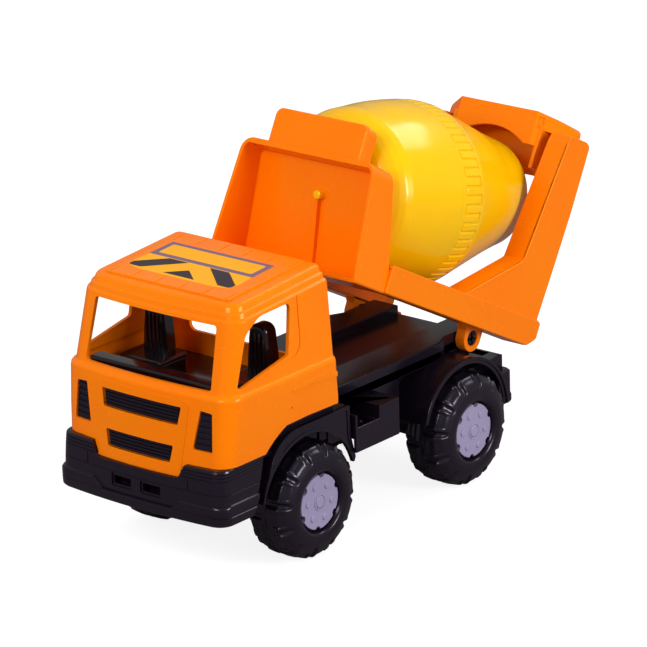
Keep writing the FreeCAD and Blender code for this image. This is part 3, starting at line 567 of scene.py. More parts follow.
def cab_openings():
    """Windscreen, side windows, rear opening, grilles and lamps."""
    screen = rounded([(-47.8, 119.4), (47.8, 119.4), (46.0, 156.2), (-46.0, 156.2)], 2.0)
    window = rounded(
        [(-135.4, 120.6), (-90.4, 129.2), (-86.0, 159.6), (-113.0, 158.6), (-125.5, 151.0)],
        [1.6, 2.2, 3.0, 14.0, 10.0],
        6,
    )
    rear = rounded([(-48.0, 112.0), (48.0, 112.0), (46.5, 158.0), (-46.5, 158.0)], 4.0)
    return [
        prism("y", screen, -156.0, -115.0),
        prism("x", window, -80.0, 80.0),
        prism("y", rear, -60.0, -40.0),
        *grille_holes(),
        *paired(prism("y", rounded(LAMP, 1.0), -165.0, -128.0)),
    ]


UPPER_GRILLE = [(-28.1, 97.7), (28.1, 97.7), (30.1, 108.4), (-30.1, 108.4)]
LOWER_GRILLE = [(-23.6, 74.9), (23.6, 74.9), (25.6, 85.1), (-25.6, 85.1)]
LAMP = [(38.9, 85.2), (52.3, 84.9), (51.3, 108.0), (43.3, 108.7)]


def grille_holes():
    holes = (UPPER_GRILLE, LOWER_GRILLE)
    return [prism("y", rounded(outline, 0.8), -165.0, -130.0) for outline in holes]


def cab_shell():
    """The orange cab: bowed front, belt ledge, stepped roof edge, openings and mould marks."""
    skirt = [
        (-80.0, 40.0), (-80.0, 76.1), (-35.3, 76.1), (-31.2, 67.5), (31.2, 67.5), (35.3, 76.1),
        (80.0, 76.1), (80.0, 40.0),
    ]
    arch = [(-20.0, 40.0), (-116.0, 40.0), (-116.0, 74.0)]
    arch += arc((FRONT_AXLE, AXLE_Z), CAB_ARCH_RADIUS, 136.0, 113.0, 12)
    arch += [(-76.0, 88.9), (-20.0, 87.6)]
    marks = groove([(-80.0, 166.0), (-79.6, 135.0), (-80.6, 131.0), (-84.0, 128.0),
                    (-88.0, 126.6)], 0.8, 0.5, side_x)
    pip_holes = [rod("x", 0.9, 62.4, 66.0, (-90.9, 97.7), 16)]
    shell = carved(
        loft(cab_rings(0.0, 0.0)),
        loft(cab_rings(-2.2, 2.6)),
        prism("y", skirt, -175.0, -140.0),
        block((-80.0, 80.0), (-140.0, -20.0), (40.0, 76.1)),
        prism("x", arch, -80.0, 80.0),
        *cab_openings(),
        *paired(*marks),
        *pip_holes,
    )
    soften(shell, 0.45, 2, 40.0)
    crease = rounded(
        [(-97.0, 107.2), (-82.0, 110.6), (-62.0, 110.8), (-50.4, 108.6), (-50.4, 105.4),
         (-72.0, 107.6)],
        [1.0, 4.0, 4.0, 0.4, 0.4, 4.0],
    )
    raised = prism("x", crease, 62.6, 64.15, 0.35)
    pip = rod("z", 1.0, 166.0, 169.4, (46.8, -123.0), 16, 0.3)
    return [shell, face_panel(), *paired(raised), roof_plateau(), pip]


def face_panel():
    """The faintly raised panel that frames both grilles."""
    outline = rounded(
        [(-31.0, 68.2), (31.0, 68.2), (33.6, 90.0), (35.6, 112.4), (-35.6, 112.4), (-33.6, 90.0)],
        [0.5, 0.5, 0, 3.0, 3.0, 0],
    )
    sheet = combine(prism("y", outline, -170.0, -140.0), [loft(cab_rings(0.45, 0.0))], "INTERSECT")
    sheet = carved(sheet, loft(cab_rings(-1.0, 0.0)), *grille_holes())
    return soften(sheet, 0.35, 2, 40.0)


def roof_slab(x, y, low, high, soft):
    """A slab lying on the sloping roof between two heights above it."""
    outline = [
        (y[0], roof_z(y[0]) + low),
        (y[1], roof_z(y[1]) + low),
        (y[1], roof_z(y[1]) + high),
        (y[0], roof_z(y[0]) + high),
    ]
    return prism("x", outline, x[0], x[1], soft)


def roof_plateau():
    """The raised middle of the roof with short flutes before and behind the label."""
    slab = roof_slab((-46.5, 46.5), (-124.2, -55.4), -0.8, 1.2, 0.0)
    flutes = []
    for x in (-44.0, -27.0, -9.0, 9.0, 27.0, 44.0):
        for span in ((-125.0, -113.5), (-68.0, -54.0)):
            flutes.append(roof_slab((x - 0.4, x + 0.4), span, 0.6, 2.0, 0.0))
    return soften(carved(slab, *flutes), 0.4, 2, 40.0)


def cab_posts():
    """Four bored posts that the cab's screws bite into, each with a web to the wall."""
    posts = []
    for y, low in ((-134.0, 76.2), (-58.0, 90.9)):
        post = carved(
            rod("z", 3.6, low, 95.8, (50.0, y), 24),
            rod("z", 1.25, 60.0, 94.5, (50.0, y), 16),
        )
        posts += paired(post, block((52.0, 61.4), (y - 0.9, y + 0.9), (91.2, 95.8)))
    return posts


def sloped_patch(outline, lift, thickness):
    """A thin flat patch lying on the roof's raised panel; the outline is in x and y."""
    low = [(x, y, roof_z(y) + 1.2 + lift) for x, y in outline]
    high = [(x, y, z + thickness) for x, y, z in low]
    return loft([low, high])


LABEL_X = -2.6


def roof_label():
    """The label: a framed plain bar behind, and a dark chevron on a yellow field ahead."""
    def film(outline, lift, thickness):
        return sloped_patch([(x + LABEL_X, y) for x, y in outline], lift, thickness)

    def mirrored(outline):
        return [(-x, y) for x, y in outline]

    field = rounded(
        mirror_outline([(39.0, -90.8), (40.0, -104.0), (38.6, -110.6), (28.0, -113.0)]),
        [0, 0, 3.0, 4.0, 4.0, 3.0, 0, 0],
    )
    edge = mirror_outline([(38.8, -70.9), (39.2, -91.2)])
    bar = rounded(mirror_outline([(35.4, -74.0), (35.4, -87.6)]), 1.2)
    arm = rounded(
        [(8.2, -92.0), (22.6, -92.0), (38.8, -105.4), (38.8, -110.2), (29.4, -110.2)],
        [0, 0, 1.0, 2.0, 1.0],
    )
    wedge = [(0.0, -101.0), (11.8, -110.6), (-11.8, -110.6)]
    dark = [film(outline, 0.12, 0.06) for outline in (arm, mirrored(arm), wedge)]
    return [film(edge, 0.02, 0.1)], [film(bar, 0.12, 0.06)], [film(field, 0.02, 0.08)], dark


def grille():
    """The black insert behind the front openings, with ribs across each pad."""
    lamp_left = [(-x, z) for x, z in LAMP]
    pads = []
    for outline in (UPPER_GRILLE, LOWER_GRILLE, LAMP, lamp_left):
        centre = Vector((sum(p[0] for p in outline) / 4, sum(p[1] for p in outline) / 4))
        snug = [tuple(centre + (Vector(p) - centre) * 0.985) for p in outline]
        pads.append(prism("y", snug, -165.0, -138.0))
    ribs = []
    for low, half, count, pitch in ((99.3, 27.6, 5, 2.0), (76.4, 23.2, 5, 1.95)):
        for k in range(count):
            z = low + pitch * k
            ribs.append(block((-half, half), (-160.0, -142.6), (z - 0.5, z + 0.5)))
    for k in range(6):
        z = 88.0 + 3.5 * k
        left = 39.8 + (z - 85.2) * 0.187
        ribs += paired(block((left, 51.2), (-160.0, -138.0), (z - 0.8, z + 0.8)))
    plate = block((-53.0, 53.0), (-143.8, -142.0), (78.0, 109.5), 0.3)
    body = combine(joined(pads), [loft(cab_rings(-1.5, 0.0))], "INTERSECT")
    raised = combine(joined(ribs), [loft(cab_rings(-0.4, 0.0))], "INTERSECT")
    return [body, soften(raised, 0.3, 2, 40.0), plate]


def seat():
    """The right seat: broad cushion with a lip, fluted back, narrow rounded head."""
    cushion = block((24.0, 54.0), (-106.0, -82.0), (97.0, 109.6), 1.8, 4)
    lip = block((23.0, 55.0), (-107.2, -82.0), (108.6, 112.0), 1.5, 4)
    outline = rounded(
        [(30.5, 108.0), (49.5, 108.0), (48.2, 126.0), (46.0, 144.0), (34.0, 144.0), (31.8, 126.0)],
        [0, 0, 8.0, 5.8, 5.8, 8.0],
        8,
    )
    back = prism("y", outline, -93.0, -82.0, 2.6, 5)
    flutes = [
        rod("z", 1.1, 113.0, top, (x, -92.8), 16, 0.5, 3)
        for x, top in ((35.4, 136.0), (38.5, 139.5), (41.5, 139.5), (44.6, 136.0))
    ]
    return [cushion, lip, back, *flutes]


def cab_inside():
    """The black insert: floor, dashboard with a top roll, console and the two seats."""
    return [
        block((-58.5, 58.5), (-136.0, -52.0), (96.0, 98.4), 0.4),
        block((-47.0, 47.0), (-140.0, -133.5), (96.0, 118.4), 0.8),
        block((-47.2, 47.2), (-140.2, -130.5), (117.4, 121.8), 1.2, 3),
        block((-12.0, 12.0), (-133.0, -117.0), (97.0, 112.0), 1.5, 3),
        *paired(*seat()),
    ]


# ------------------------------------------------------------------ chassis

def bumper_outline(grow, back=-112.0):
    """Plan outline of the bumper grown outwards."""
    half = 62.6 + grow
    front = -154.2 - grow
    right = [(half, back), (half, front + 9.5)]
    for k in range(1, 7):
        angle = math.pi / 2 * k / 7
        right.append((half - 8.0 + 8.0 * math.cos(angle), front + 9.5 - 8.7 * math.sin(angle)))
    right.append((half - 8.0, front + 0.5))
    for k in range(1, 5):
        x = (half - 8.0) * (1 - k / 5)
        right.append((x, front + 0.5 - 3.2 * (1 - (x / (half - 8.0)) ** 2)))
    return mirror_outline(right)


BUMPER_RINGS = (
    (43.0, 0.6), (44.0, 1.3), (48.2, 1.5), (48.5, 1.1), (49.2, 1.1), (49.5, 1.5),
    (53.6, 1.5), (54.8, 0.9), (55.3, 0.0), (61.2, -0.15), (61.4, -0.5), (61.9, -0.5),
    (62.1, -0.2), (69.4, -0.55), (69.6, -0.95), (70.1, -0.95), (70.3, -0.6), (71.5, -0.7),
    (71.7, -1.1), (72.2, -1.1), (72.4, -0.75), (73.6, -0.85), (73.8, -1.25), (74.3, -1.25),
    (74.5, -0.9), (75.4, -1.2), (76.0, -2.0),
)


def near_bumper_face(outline, depth):
    """A cutter that reaches a given depth behind the bowed face, inside the (x, z) outline."""
    core = prism("z", bumper_outline(-depth), 38.0, 80.0)
    return carved(prism("y", outline, -170.0, -140.0), core)


def bumper():
    """The bowed front bumper: ridged raised ends, a low middle, two slots, a stepped face."""
    outside = loft([[(x, y, z) for x, y in bumper_outline(g)] for z, g in BUMPER_RINGS])
    inside = prism("z", bumper_outline(-2.6, -90.0), 40.0, 73.2)
    ends = [(-131.0, 38.0), (-122.5, 53.0), (-115.4, 74.3), (-115.0, 85.0), (-90.0, 85.0),
            (-90.0, 38.0)]
    dip = rounded(
        [(-31.0, 67.4), (31.0, 67.4), (35.6, 76.8), (35.6, 90.0), (-35.6, 90.0), (-35.6, 76.8)],
        [3.0, 3.0, 3.0, 0, 0, 3.0],
    )
    band = [(27.0, 49.4), (33.0, 54.4), (34.0, 58.0), (-34.0, 58.0), (-33.0, 54.4), (-27.0, 49.4)]
    frame_edge = rounded([(3.2, 52.8), (18.9, 52.8), (18.9, 60.7), (3.2, 60.7)], 1.0)
    slot = rounded([(4.6, 54.2), (17.6, 54.2), (17.6, 59.2), (4.6, 59.2)], 0.7)
    shell = carved(
        outside,
        inside,
        prism("x", ends, -80.0, 80.0),
        prism("y", dip, -170.0, -141.5),
        near_bumper_face(band, 0.1),
        *paired(near_bumper_face(frame_edge, 1.0)),
        *paired(prism("y", slot, -170.0, -140.0)),
        *paired(near_bumper_face([(38.0, 61.9), (38.7, 61.9), (38.7, 69.2), (38.0, 69.2)], 0.7)),
        block((-58.0, 58.0), (-141.0, -90.0), (60.0, 90.0)),
    )
    backing = block((-57.0, 57.0), (-149.5, -148.0), (45.0, 66.0), 0.3)
    return joined([soften(shell, 0.3, 2, 45.0), backing])


def arch_ring(centre, outer, inner, x0, x1, skirts, soft=0.5, steps=72):
    """Part of a ring round an axle, cut off at its two skirt heights (front, rear)."""
    z0 = centre[1]

    def angle(radius, skirt):
        return math.degrees(math.asin(min(1.0, (skirt - z0) / radius)))

    outline = arc(centre, outer, angle(outer, skirts[1]), 180 - angle(outer, skirts[0]), steps)
    outline += arc(centre, inner, 180 - angle(inner, skirts[0]), angle(inner, skirts[1]), steps)
    return prism("x", outline, x0, x1, soft)


def fender_edge(inset):
    """The front fender's edge from its front skirt over the top and back."""
    radius = 27.0 - inset
    edge = [(-119.2 + inset, 47.0), (-115.8 + inset, 56.0)]
    edge += arc((-86.3, 57.2), radius, 169.0, 90.0, 16)
    return edge + [(-40.2 - inset, 84.2 - inset)]


def front_corner():
    """Right front wheel arch: a bent top sheet, a face plate round the wheel, a rear foot."""
    sheet = prism("x", fender_edge(0.0) + fender_edge(2.0)[::-1], 31.0, 62.8, 0.4)
    foot = [(-39.2, 64.4), (-35.5, 51.5), (-36.7, 48.7), (-77.5, 47.0)]
    inner_foot = [(-41.6, 64.0), (-38.2, 52.4), (-39.6, 51.0), (-77.5, 49.6)]
    well = (-77.5, 36.0)
    sunk = carved(
        prism("x", fender_edge(2.2) + inner_foot, 63.1, 66.0),
        rod("x", 43.6, 60.0, 70.0, well, 120),
    )
    plate = carved(
        prism("x", fender_edge(0.0) + foot, 61.2, 63.7),
        rod("x", 41.5, 50.0, 70.0, well, 120),
        sunk,
    )
    soften(plate, 0.4, 2, 40.0)
    web = block((33.0, 62.0), (-42.6, -40.2), (72.0, 83.0), 0.4)
    return [sheet, plate, web]


def rear_corner():
    """Right rear wheel arch with its wide double rim."""
    middle = (REAR_AXLE, 38.0)
    skirts = (48.5, 39.6)
    barrel = arch_ring(middle, 40.4, 38.4, 31.0, 60.6, skirts, 0.3)
    rim = arch_ring(middle, 41.5, 39.4, 58.6, 61.8, skirts, 0.75)
    lip = arch_ring(middle, 39.8, 37.2, 59.0, 60.8, skirts, 0.6)
    return [barrel, rim, lip]


def step_box():
    """Right side step: an open tray with studs ahead of a closed box."""
    outline = [(42.5, 54.3), (66.2, 54.3), (66.2, 77.5), (42.5, 77.5)]
    body = carved(
        prism("y", outline, -38.0, 2.5),
        block((43.5, 70.0), (-36.0, -16.0), (69.5, 90.0)),
        block((44.7, 64.2), (-36.0, -18.0), (65.0, 90.0)),
        block((44.7, 64.2), (-39.0, -18.0), (50.0, 62.6)),
        block((44.7, 64.2), (-14.0, 0.3), (50.0, 75.3)),
    )
    soften(body, 0.5, 2, 40.0)
    studs = [rod("z", 2.3, 64.0, 68.8, (57.0, y), 24, 0.5) for y in (-30.5, -23.5)]
    wall = carved(
        block((42.0, 44.0), (-45.0, 30.0), (54.3, 80.0)),
        block((40.0, 44.3), (-46.0, -18.0), (50.0, 58.5)),
    )
    return [body, soften(wall, 0.3, 1, 40.0), *studs]


def deck():
    """The long deck: two raised rails with a sunk channel between, on a deep trough."""
    rail = [
        (20.0, -46.0), (44.0, -46.0), (44.0, 70.0), (39.5, 79.0), (39.5, 109.5), (20.0, 109.5),
    ]
    plan = mirror_outline([
        (44.0, -46.0), (44.0, 70.0), (39.5, 79.0), (39.5, 109.5),
    ])
    rails = prism("z", rail, 76.0, 87.5, 0.8, 3)
    floor = prism("z", plan, 76.0, 82.0, 0.4)
    trough = carved(
        block((-33.0, 33.0), (-140.0, 112.0), (44.0, 81.0)),
        block((-30.6, 30.6), (-137.6, 109.6), (40.0, 79.0)),
        block((-36.0, 36.0), (-38.0, 29.0), (38.0, 55.5)),
    )
    soften(trough, 0.6, 2, 40.0)
    return [*paired(rails), floor, trough]


def bearings():
    """Four hanging blocks, slotted from below for the axles."""
    blocks = []
    for y in (FRONT_AXLE, REAR_AXLE):
        hanger = carved(
            block((26.5, 33.0), (y - 8.0, y + 8.0), (28.0, 48.0)),
            rod("x", 2.08, 20.0, 40.0, (y, AXLE_Z), 24),
            block((20.0, 40.0), (y - 2.08, y + 2.08), (20.0, AXLE_Z)),
        )
        blocks += paired(soften(hanger, 0.4, 1, 50.0))
    return blocks


def tail():
    """The low rear deck with its two slots and the rounded rear bumper."""
    def plan(grow):
        right = rounded([(0.0, 120.5 + grow), (60.0 + grow, 120.5 + grow), (60.0 + grow, 106.0)],
                        [0, 5.0, 0], 6)
        return mirror_outline(right[:0:-1])

    levels = ((39.0, 0.0), (40.0, 0.5), (43.4, 0.5), (44.8, 0.0), (58.6, 0.0), (59.5, -0.8))
    band = loft([[(x, y, z) for x, y in plan(grow)] for z, grow in levels])
    shell = carved(
        welded(block((-52.0, 52.0), (86.0, 120.0), (44.0, 67.0)), band),
        block((-49.6, 49.6), (88.0, 117.6), (30.0, 64.6)),
        *paired(block((32.5, 43.5), (111.0, 118.0), (60.0, 70.0))),
        block((-57.6, 57.6), (108.4, 118.0), (30.0, 57.2)),
    )
    return soften(shell, 0.6, 2, 40.0)


def cab_base():
    """The ledge plate and the raised sill that the cab stands on."""
    plate = carved(
        block((-60.0, 60.0), (-141.0, -100.0), (73.6, 76.0)),
        *paired(rod("z", 1.6, 60.0, 90.0, (50.0, -134.0), 16)),
    )
    sill = carved(
        block((-60.0, 60.0), (-103.0, -50.4), (81.6, 90.8)),
        block((-57.6, 57.6), (-100.6, -52.8), (70.0, 88.2)),
        *paired(rod("z", 1.6, 60.0, 95.0, (50.0, -58.0), 16)),
    )
    return [plate, soften(sill, 0.4, 1, 50.0)]


def screws():
    """Four cross-headed screws."""
    solids = []
    for y, z, top in ((-134.0, 73.6, 94.0), (-58.0, 88.2, 94.0)):
        head = carved(
            rod("z", 2.8, z - 1.6, z, (50.0, y), 24, 0.4),
            block((47.9, 52.1), (y - 0.4, y + 0.4), (z - 2.0, z - 0.7)),
            block((49.6, 50.4), (y - 2.1, y + 2.1), (z - 2.0, z - 0.7)),
        )
        solids += paired(head, rod("z", 1.2, z - 0.2, top, (50.0, y), 16, 0.3))
    return solids


def axle_clip(y):
    """The keeper plate under an axle with its two tongues."""
    plate = block((-31.0, 31.0), (y - 9.0, y + 9.0), (25.5, 28.0), 0.5)
    recess = block((-22.0, 22.0), (y - 5.0, y + 5.0), (24.0, 26.3))
    tongue = block((26.8, 31.0), (y - 1.9, y + 1.9), (27.0, 32.9), 0.3)
    return [carved(plate, recess), *paired(tongue)]


# ------------------------------------------------------------------ wheels

LUGS = 12
TREAD_STEPS = 432
TYRE_MIDDLE = 52.5
TYRE_RADIUS = 35.0


def smooth(value, low, high):
    """Eases from 0 to 1 as the value passes from low to high."""
    t = np.clip((value - low) / (high - low), 0.0, 1.0)
    return t * t * (3 - 2 * t)


def tyre(side, phase):
    """A wide tyre with framed blocks round both shoulders and a sunk disc for the cap."""
    outer = [
        (63.9, 2.0, 0.0), (63.9, 17.2, 0.0), (64.6, 17.9, 0.0), (66.9, 18.5, 0.0),
        (67.9, 19.1, 0.0), (68.4, 20.2, 0.0), (68.5, 21.6, 0.0), (68.5, 23.2, 0.0),
        (68.3, 24.8, 0.0), (67.9, 26.2, 0.0), (67.6, 27.0, 0.15),
    ]
    stations = [67.4 - 1.1 * k for k in range(27)]
    tread = [
        (x, TYRE_RADIUS - 0.0018 * abs(x - TYRE_MIDDLE) ** 2.6, 1.0)
        for x in stations if 41.6 < x < 63.4
    ]
    shoulder = [(67.3, 27.9, 0.5), (66.9, 29.2, 1.0), (66.2, 30.6, 1.0), (65.3, 32.0, 1.0),
                (64.2, 33.1, 1.0)]
    inner = [(40.8, 33.2, 1.0), (39.4, 31.8, 1.0), (38.0, 30.0, 1.0), (37.0, 28.0, 0.5),
             (36.5, 26.0, 0.0), (36.5, 24.0, 0.0), (40.0, 23.0, 0.0), (56.0, 24.0, 0.0),
             (56.5, 22.0, 0.0), (56.5, 9.0, 0.0), (40.5, 7.0, 0.0), (40.5, 2.0, 0.0)]
    rows = outer + shoulder + tread + inner
    angle = np.arange(TREAD_STEPS) * 2 * math.pi / TREAD_STEPS
    verts = []
    for x, radius, relief in rows:
        pattern = tread_pattern(x, angle + phase)
        around = radius + relief * pattern
        sink = relief * 0.5 * np.minimum(pattern, 0.0) if x > 63.5 else np.zeros(TREAD_STEPS)
        across = np.stack([x + sink, around * np.cos(angle), around * np.sin(angle)], axis=1)
        verts += across.tolist()
    bm = rows_closed(verts, len(rows), TREAD_STEPS)
    return bm if side > 0 else moved(bm, FLIP)


def tread_pattern(x, angle):
    """Relief of the tread in millimetres: blocks at both shoulders, staggered, each framed."""
    offset = 0.0 if x > TYRE_MIDDLE else math.pi / LUGS
    pitch = 2 * math.pi / LUGS
    spot = (angle + offset) % pitch / pitch
    gap = 1.0 - smooth(np.abs(spot - 0.5), 0.36, 0.46)
    reach = abs(x - TYRE_MIDDLE)
    frame = gap * smooth(reach, 1.2, 2.4)
    inner = 1.0 - smooth(np.abs(spot - 0.5), 0.24, 0.28)
    window = smooth(reach, 5.0, 6.0) * (1.0 - smooth(reach, 13.0, 14.0))
    return -1.5 * (1.0 - frame) - 0.8 * inner * window * frame


def hub_cap(side):
    """A scalloped cap with six pegs round a domed boss."""
    disc = rod("x", 16.6, 64.0, 66.4, (0, 0), 96, 0.5)
    disc = carved(disc, *[rod("x", 2.4, 60.0, 70.0, spot, 20) for spot in round_spots(6, 17.0, 22.0)])
    ring = carved(rod("x", 5.0, 66.2, 66.9, (0, 0), 40, 0.25), rod("x", 4.0, 60.0, 70.0, (0, 0), 40))
    boss = rod("x", 3.7, 66.0, 67.2, (0, 0), 40, 0.6, 3)
    pegs = [rod("x", 2.1, 66.0, 67.1, spot, 24, 0.7, 3) for spot in round_spots(6, 10.8, 52.0)]
    bm = joined([disc, ring, boss, *pegs])
    return bm if side > 0 else moved(bm, FLIP)


# ------------------------------------------------------------------ tipping body

def body_side():
    """The right side: skin, proud rail band, inward flanges of rail, brace and post."""
    skin = rounded(
        [(-110.0, 5.6), (41.6, 6.5), (49.5, 12.0), (49.5, 22.0), (46.2, 24.0), (48.2, 57.0),
         (50.0, 94.0), (50.0, 135.0), (46.0, 136.6), (28.6, 136.6), (27.0, 131.0), (15.7, 54.5),
         (-30.6, 24.2), (-34.5, 22.9), (-109.4, 22.9)],
        [1.0, 5.0, 3.5, 1.5, 0.8, 0, 0, 5.5, 0, 2.0, 2.0, 3.0, 6.0, 0, 1.0],
        6,
    )
    band = rounded(
        [(-110.2, 6.0), (41.6, 6.4), (49.5, 12.0), (49.5, 22.2), (47.0, 23.2), (-109.6, 23.2)],
        [1.0, 5.0, 3.5, 1.5, 1.0, 1.0],
    )
    brace = [
        (29.0, 136.6), (27.0, 131.0), (15.7, 54.5), (-30.6, 24.2), (-36.0, 21.4),
        (-33.0, 20.6), (-29.4, 22.2), (17.6, 53.2), (29.0, 130.4), (30.4, 134.4),
        (43.6, 134.4), (43.6, 136.6),
    ]
    brace = rounded(brace, [1.5, 2.0, 3.0, 6.0, 0, 0, 6.0, 3.0, 2.0, 1.5, 0, 0], 4)
    return [
        prism("x", skin, 54.6, 56.7, 0.6, 3),
        prism("x", band, 55.2, 57.6, 0.7, 3),
        prism("x", brace, 41.0, 56.4, 0.4),
        block((40.0, 56.4), (-109.0, 40.6), (6.2, 8.2), 0.4),
        block((40.4, 56.4), (-110.0, -100.0), (21.0, 22.8), 0.4),
        *lug(),
    ]


def lug():
    """The right hinge lug: a round-ended ear under the rail."""
    outline = [(8.3, 8.0), *arc((0, 0), 8.3, 0.0, -180.0, 24), (-8.3, 3.5), (-12.5, 8.0)]
    ear = carved(
        prism("x", outline, 40.0, 47.0),
        rod("x", 4.75, 30.0, 60.0, (0, 0), 48),
    )
    return [soften(ear, 0.5, 2, 40.0)]


def tray_wedge(inset, reach):
    """The tray's tapering solid: outside with no inset, its hollow with the wall's thickness."""
    across = rounded(
        [(-56.0 + inset, 5.4 + inset), (56.0 - inset, 5.4 + inset), (50.3 - inset, 75.7 - inset),
         (-50.3 + inset, 75.7 - inset)],
        [1.5, 1.5, 9.0 - inset, 9.0 - inset],
        8,
    )
    along = [
        (-140.0 - reach, 5.0 + inset), (-105.8 - inset, 5.0 + inset), (-124.9 - inset, 73.4 - inset),
        (-144.5 - reach, 75.9 - inset), (-142.2 - reach, 40.0),
    ]
    return combine(prism("y", across, -190.0, -90.0), [prism("x", along, -70.0, 70.0)], "INTERSECT")


def body_front():
    """The tray towards the cab, its closed head panel and the thin rib under the stub."""
    hollow = soften(tray_wedge(2.0, 30.0), 7.0, 5, 40.0)
    tray = soften(carved(tray_wedge(0.0, 0.0), hollow), 0.8, 3, 40.0)

    def head_outline(inset):
        half, top = 34.8 - inset, 97.0 - inset
        return rounded([(-half, 72.6), (half, 72.6), (half, top), (-half, top)],
                       [0, 0, 4.8, 4.8], 6)

    plate = prism("y", head_outline(0.0), -140.8, -136.2, 1.0, 3)
    box = carved(
        prism("y", head_outline(1.2), -137.0, -127.6),
        prism("y", [(x, z - 1.0) for x, z in head_outline(3.0)], -134.0, -120.0),
    )
    rib = [(-110.2, 6.4), (-105.5, 6.4), (-119.8, 51.0), (-124.6, 51.0)]
    return [tray, plate, soften(box, 0.9, 3, 40.0), prism("x", rib, -0.5, 0.5, 0.2)]


def hood():
    """The arched hood over the drum's rear end, its slotted wings and the rear web."""
    half, crease = 49.0, 29.5
    plan = [(-half, 48.0), (-half, 43.0), (-crease, 25.0), (crease, 25.0), (half, 43.0), (half, 48.0)]
    inner = [(-47.0, 46.4), (-47.0, 44.2), (-28.7, 27.2), (28.7, 27.2), (47.0, 44.2), (47.0, 46.4)]
    face = rounded(
        [(-half, 126.0), (-half, 142.4), (-crease, 147.0), (crease, 147.0), (half, 142.4),
         (half, 126.0)],
        [0, 3.5, 3.0, 3.0, 3.5, 0],
    )
    shell = combine(prism("z", plan, 100.0, 150.0), [prism("y", face, 15.0, 60.0)], "INTERSECT")
    shell = carved(
        shell,
        prism("z", inner, 90.0, 140.6),
        rod("y", 45.0, 15.0, 44.0, (0, 88.5), 96),
        *paired(
            block((34.0, 48.4), (15.0, 46.4), (90.0, 136.4)),
            block((46.0, 60.0), (15.0, 46.4), (90.0, 134.0)),
            moved(block((-1.7, 1.7), (-4.0, 1.0), (137.2, 144.2)),
                  shift(32.2, 27.4, 0) @ Matrix.Rotation(math.radians(42.0), 4, "Z")),
        ),
    )
    soften(shell, 0.6, 3, 36.0)
    web_outline = rounded(
        mirror_outline([(55.6, 110.0), (55.6, 134.4)]), [1.0, 6.0, 6.0, 1.0], 6
    )
    tongue = rounded([(-16.0, 112.0), (-16.0, 84.0), (16.0, 84.0), (16.0, 112.0)], [0, 4.0, 4.0, 0])
    return [
        shell,
        prism("y", web_outline, 46.0, 48.4, 0.6, 3),
        prism("y", tongue, 45.5, 48.0, 0.5),
        *paired(block((31.6, 34.2), (27.4, 46.5), (112.0, 139.0), 0.5)),
    ]


def bosses():
    """Bored bosses that carry the drum's two stubs, in the drum's frame."""
    front = turn([(6.2, 2.98), (6.2, 4.4), (6.6, 4.8), (9.6, 4.8), (9.6, 2.98)], 48)
    rear = turn([(169.8, 2.98), (169.8, 6.6), (170.2, 7.0), (178.0, 7.0), (178.0, 2.98)], 48)
    return [front, rear]


def hinge_pins():
    """Two split snap pins with crossed heads."""
    head = carved(
        rod("x", 4.55, 39.6, 46.4, (0, 0), 40, 0.5),
        block((43.0, 50.0), (-0.7, 0.7), (-6.0, 6.0)),
        block((43.0, 50.0), (-6.0, 6.0), (-0.7, 0.7)),
    )
    shank = rod("x", 2.5, 30.0, 40.0, (0, 0), 32)
    return [moved(bm, shift(*HINGE)) for bm in paired(head, shank)]


# ------------------------------------------------------------------ drum

TEETH = 32
SEAM_LOW, SEAM_HIGH = 72.5, 87.5


def drum_radius(s):
    """Outside radius at a distance along the axis."""
    table = (
        (10.5, 29.0), (10.9, 33.0), (11.9, 37.0), (13.4, 40.6), (15.6, 44.2), (18.6, 47.6),
        (22.4, 50.3), (27.0, 52.0), (32.0, 52.7), (37.8, 53.5), (46.0, 54.9), (54.0, 55.9),
        (62.0, 56.5), (70.0, 56.9), (78.0, 57.1), (84.0, 57.0), (90.0, 56.2), (94.0, 54.9),
        (100.0, 52.9), (120.0, 46.5), (140.0, 40.2), (160.0, 34.6), (162.4, 34.2), (164.6, 33.5),
        (166.4, 32.3), (167.6, 30.6), (168.0, 28.4),
    )
    stations, radii = zip(*table)
    return np.interp(s, stations, radii)


def seam_depth(s, angle):
    """Depth of the square-wave groove where the two halves of the drum interlock."""
    pitch = 2 * math.pi / TEETH
    spot = (angle % pitch) / pitch
    high = (spot > 0.25) & (spot < 0.75)
    edge = np.minimum(np.abs(spot - 0.25), np.abs(spot - 0.75)) * pitch * 57.0
    inside = (s > SEAM_LOW - 0.5) & (s < SEAM_HIGH + 0.5)
    sides = np.clip(1.6 - edge / 0.5, 0.0, 1.0) * inside
    level = np.where(high, SEAM_HIGH, SEAM_LOW)
    ends = np.clip(1.6 - np.abs(s - level) / 0.5, 0.0, 1.0)
    return np.maximum(sides, ends)


def drum_skin(low, high, relief, steps):
    """Rows of points on the outside between two stations, raised or sunk by relief."""
    stations = np.unique(np.concatenate([
        np.linspace(low, high, max(3, int((high - low) / 2.6))),
        np.linspace(SEAM_LOW - 2, SEAM_HIGH + 2, 66) if relief else np.array([low, high]),
        np.linspace(10.5, 30.0, 24),
        np.linspace(159.0, 168.0, 20),
    ]))
    stations = stations[(stations >= low) & (stations <= high)]
    angle = np.arange(steps) * 2 * math.pi / steps
    rows = []
    for s in stations:
        radius = np.full(steps, float(drum_radius(s)))
        if relief:
            radius = radius - 0.95 * seam_depth(s, angle)
        rows.append((float(s), radius))
    return rows, angle


def skin_mesh(rows, angle, inner):
    """A closed shell: outside rows, inside rows and the two ends."""
    steps = len(angle)
    all_rows = list(rows) + [(s, np.full(steps, r)) for s, r in inner]
    verts = []
    for s, radius in all_rows:
        place = np.full(steps, s)
        verts += np.stack([radius * np.cos(angle), place, radius * np.sin(angle)], axis=1).tolist()
    return rows_closed(verts, len(all_rows), steps)


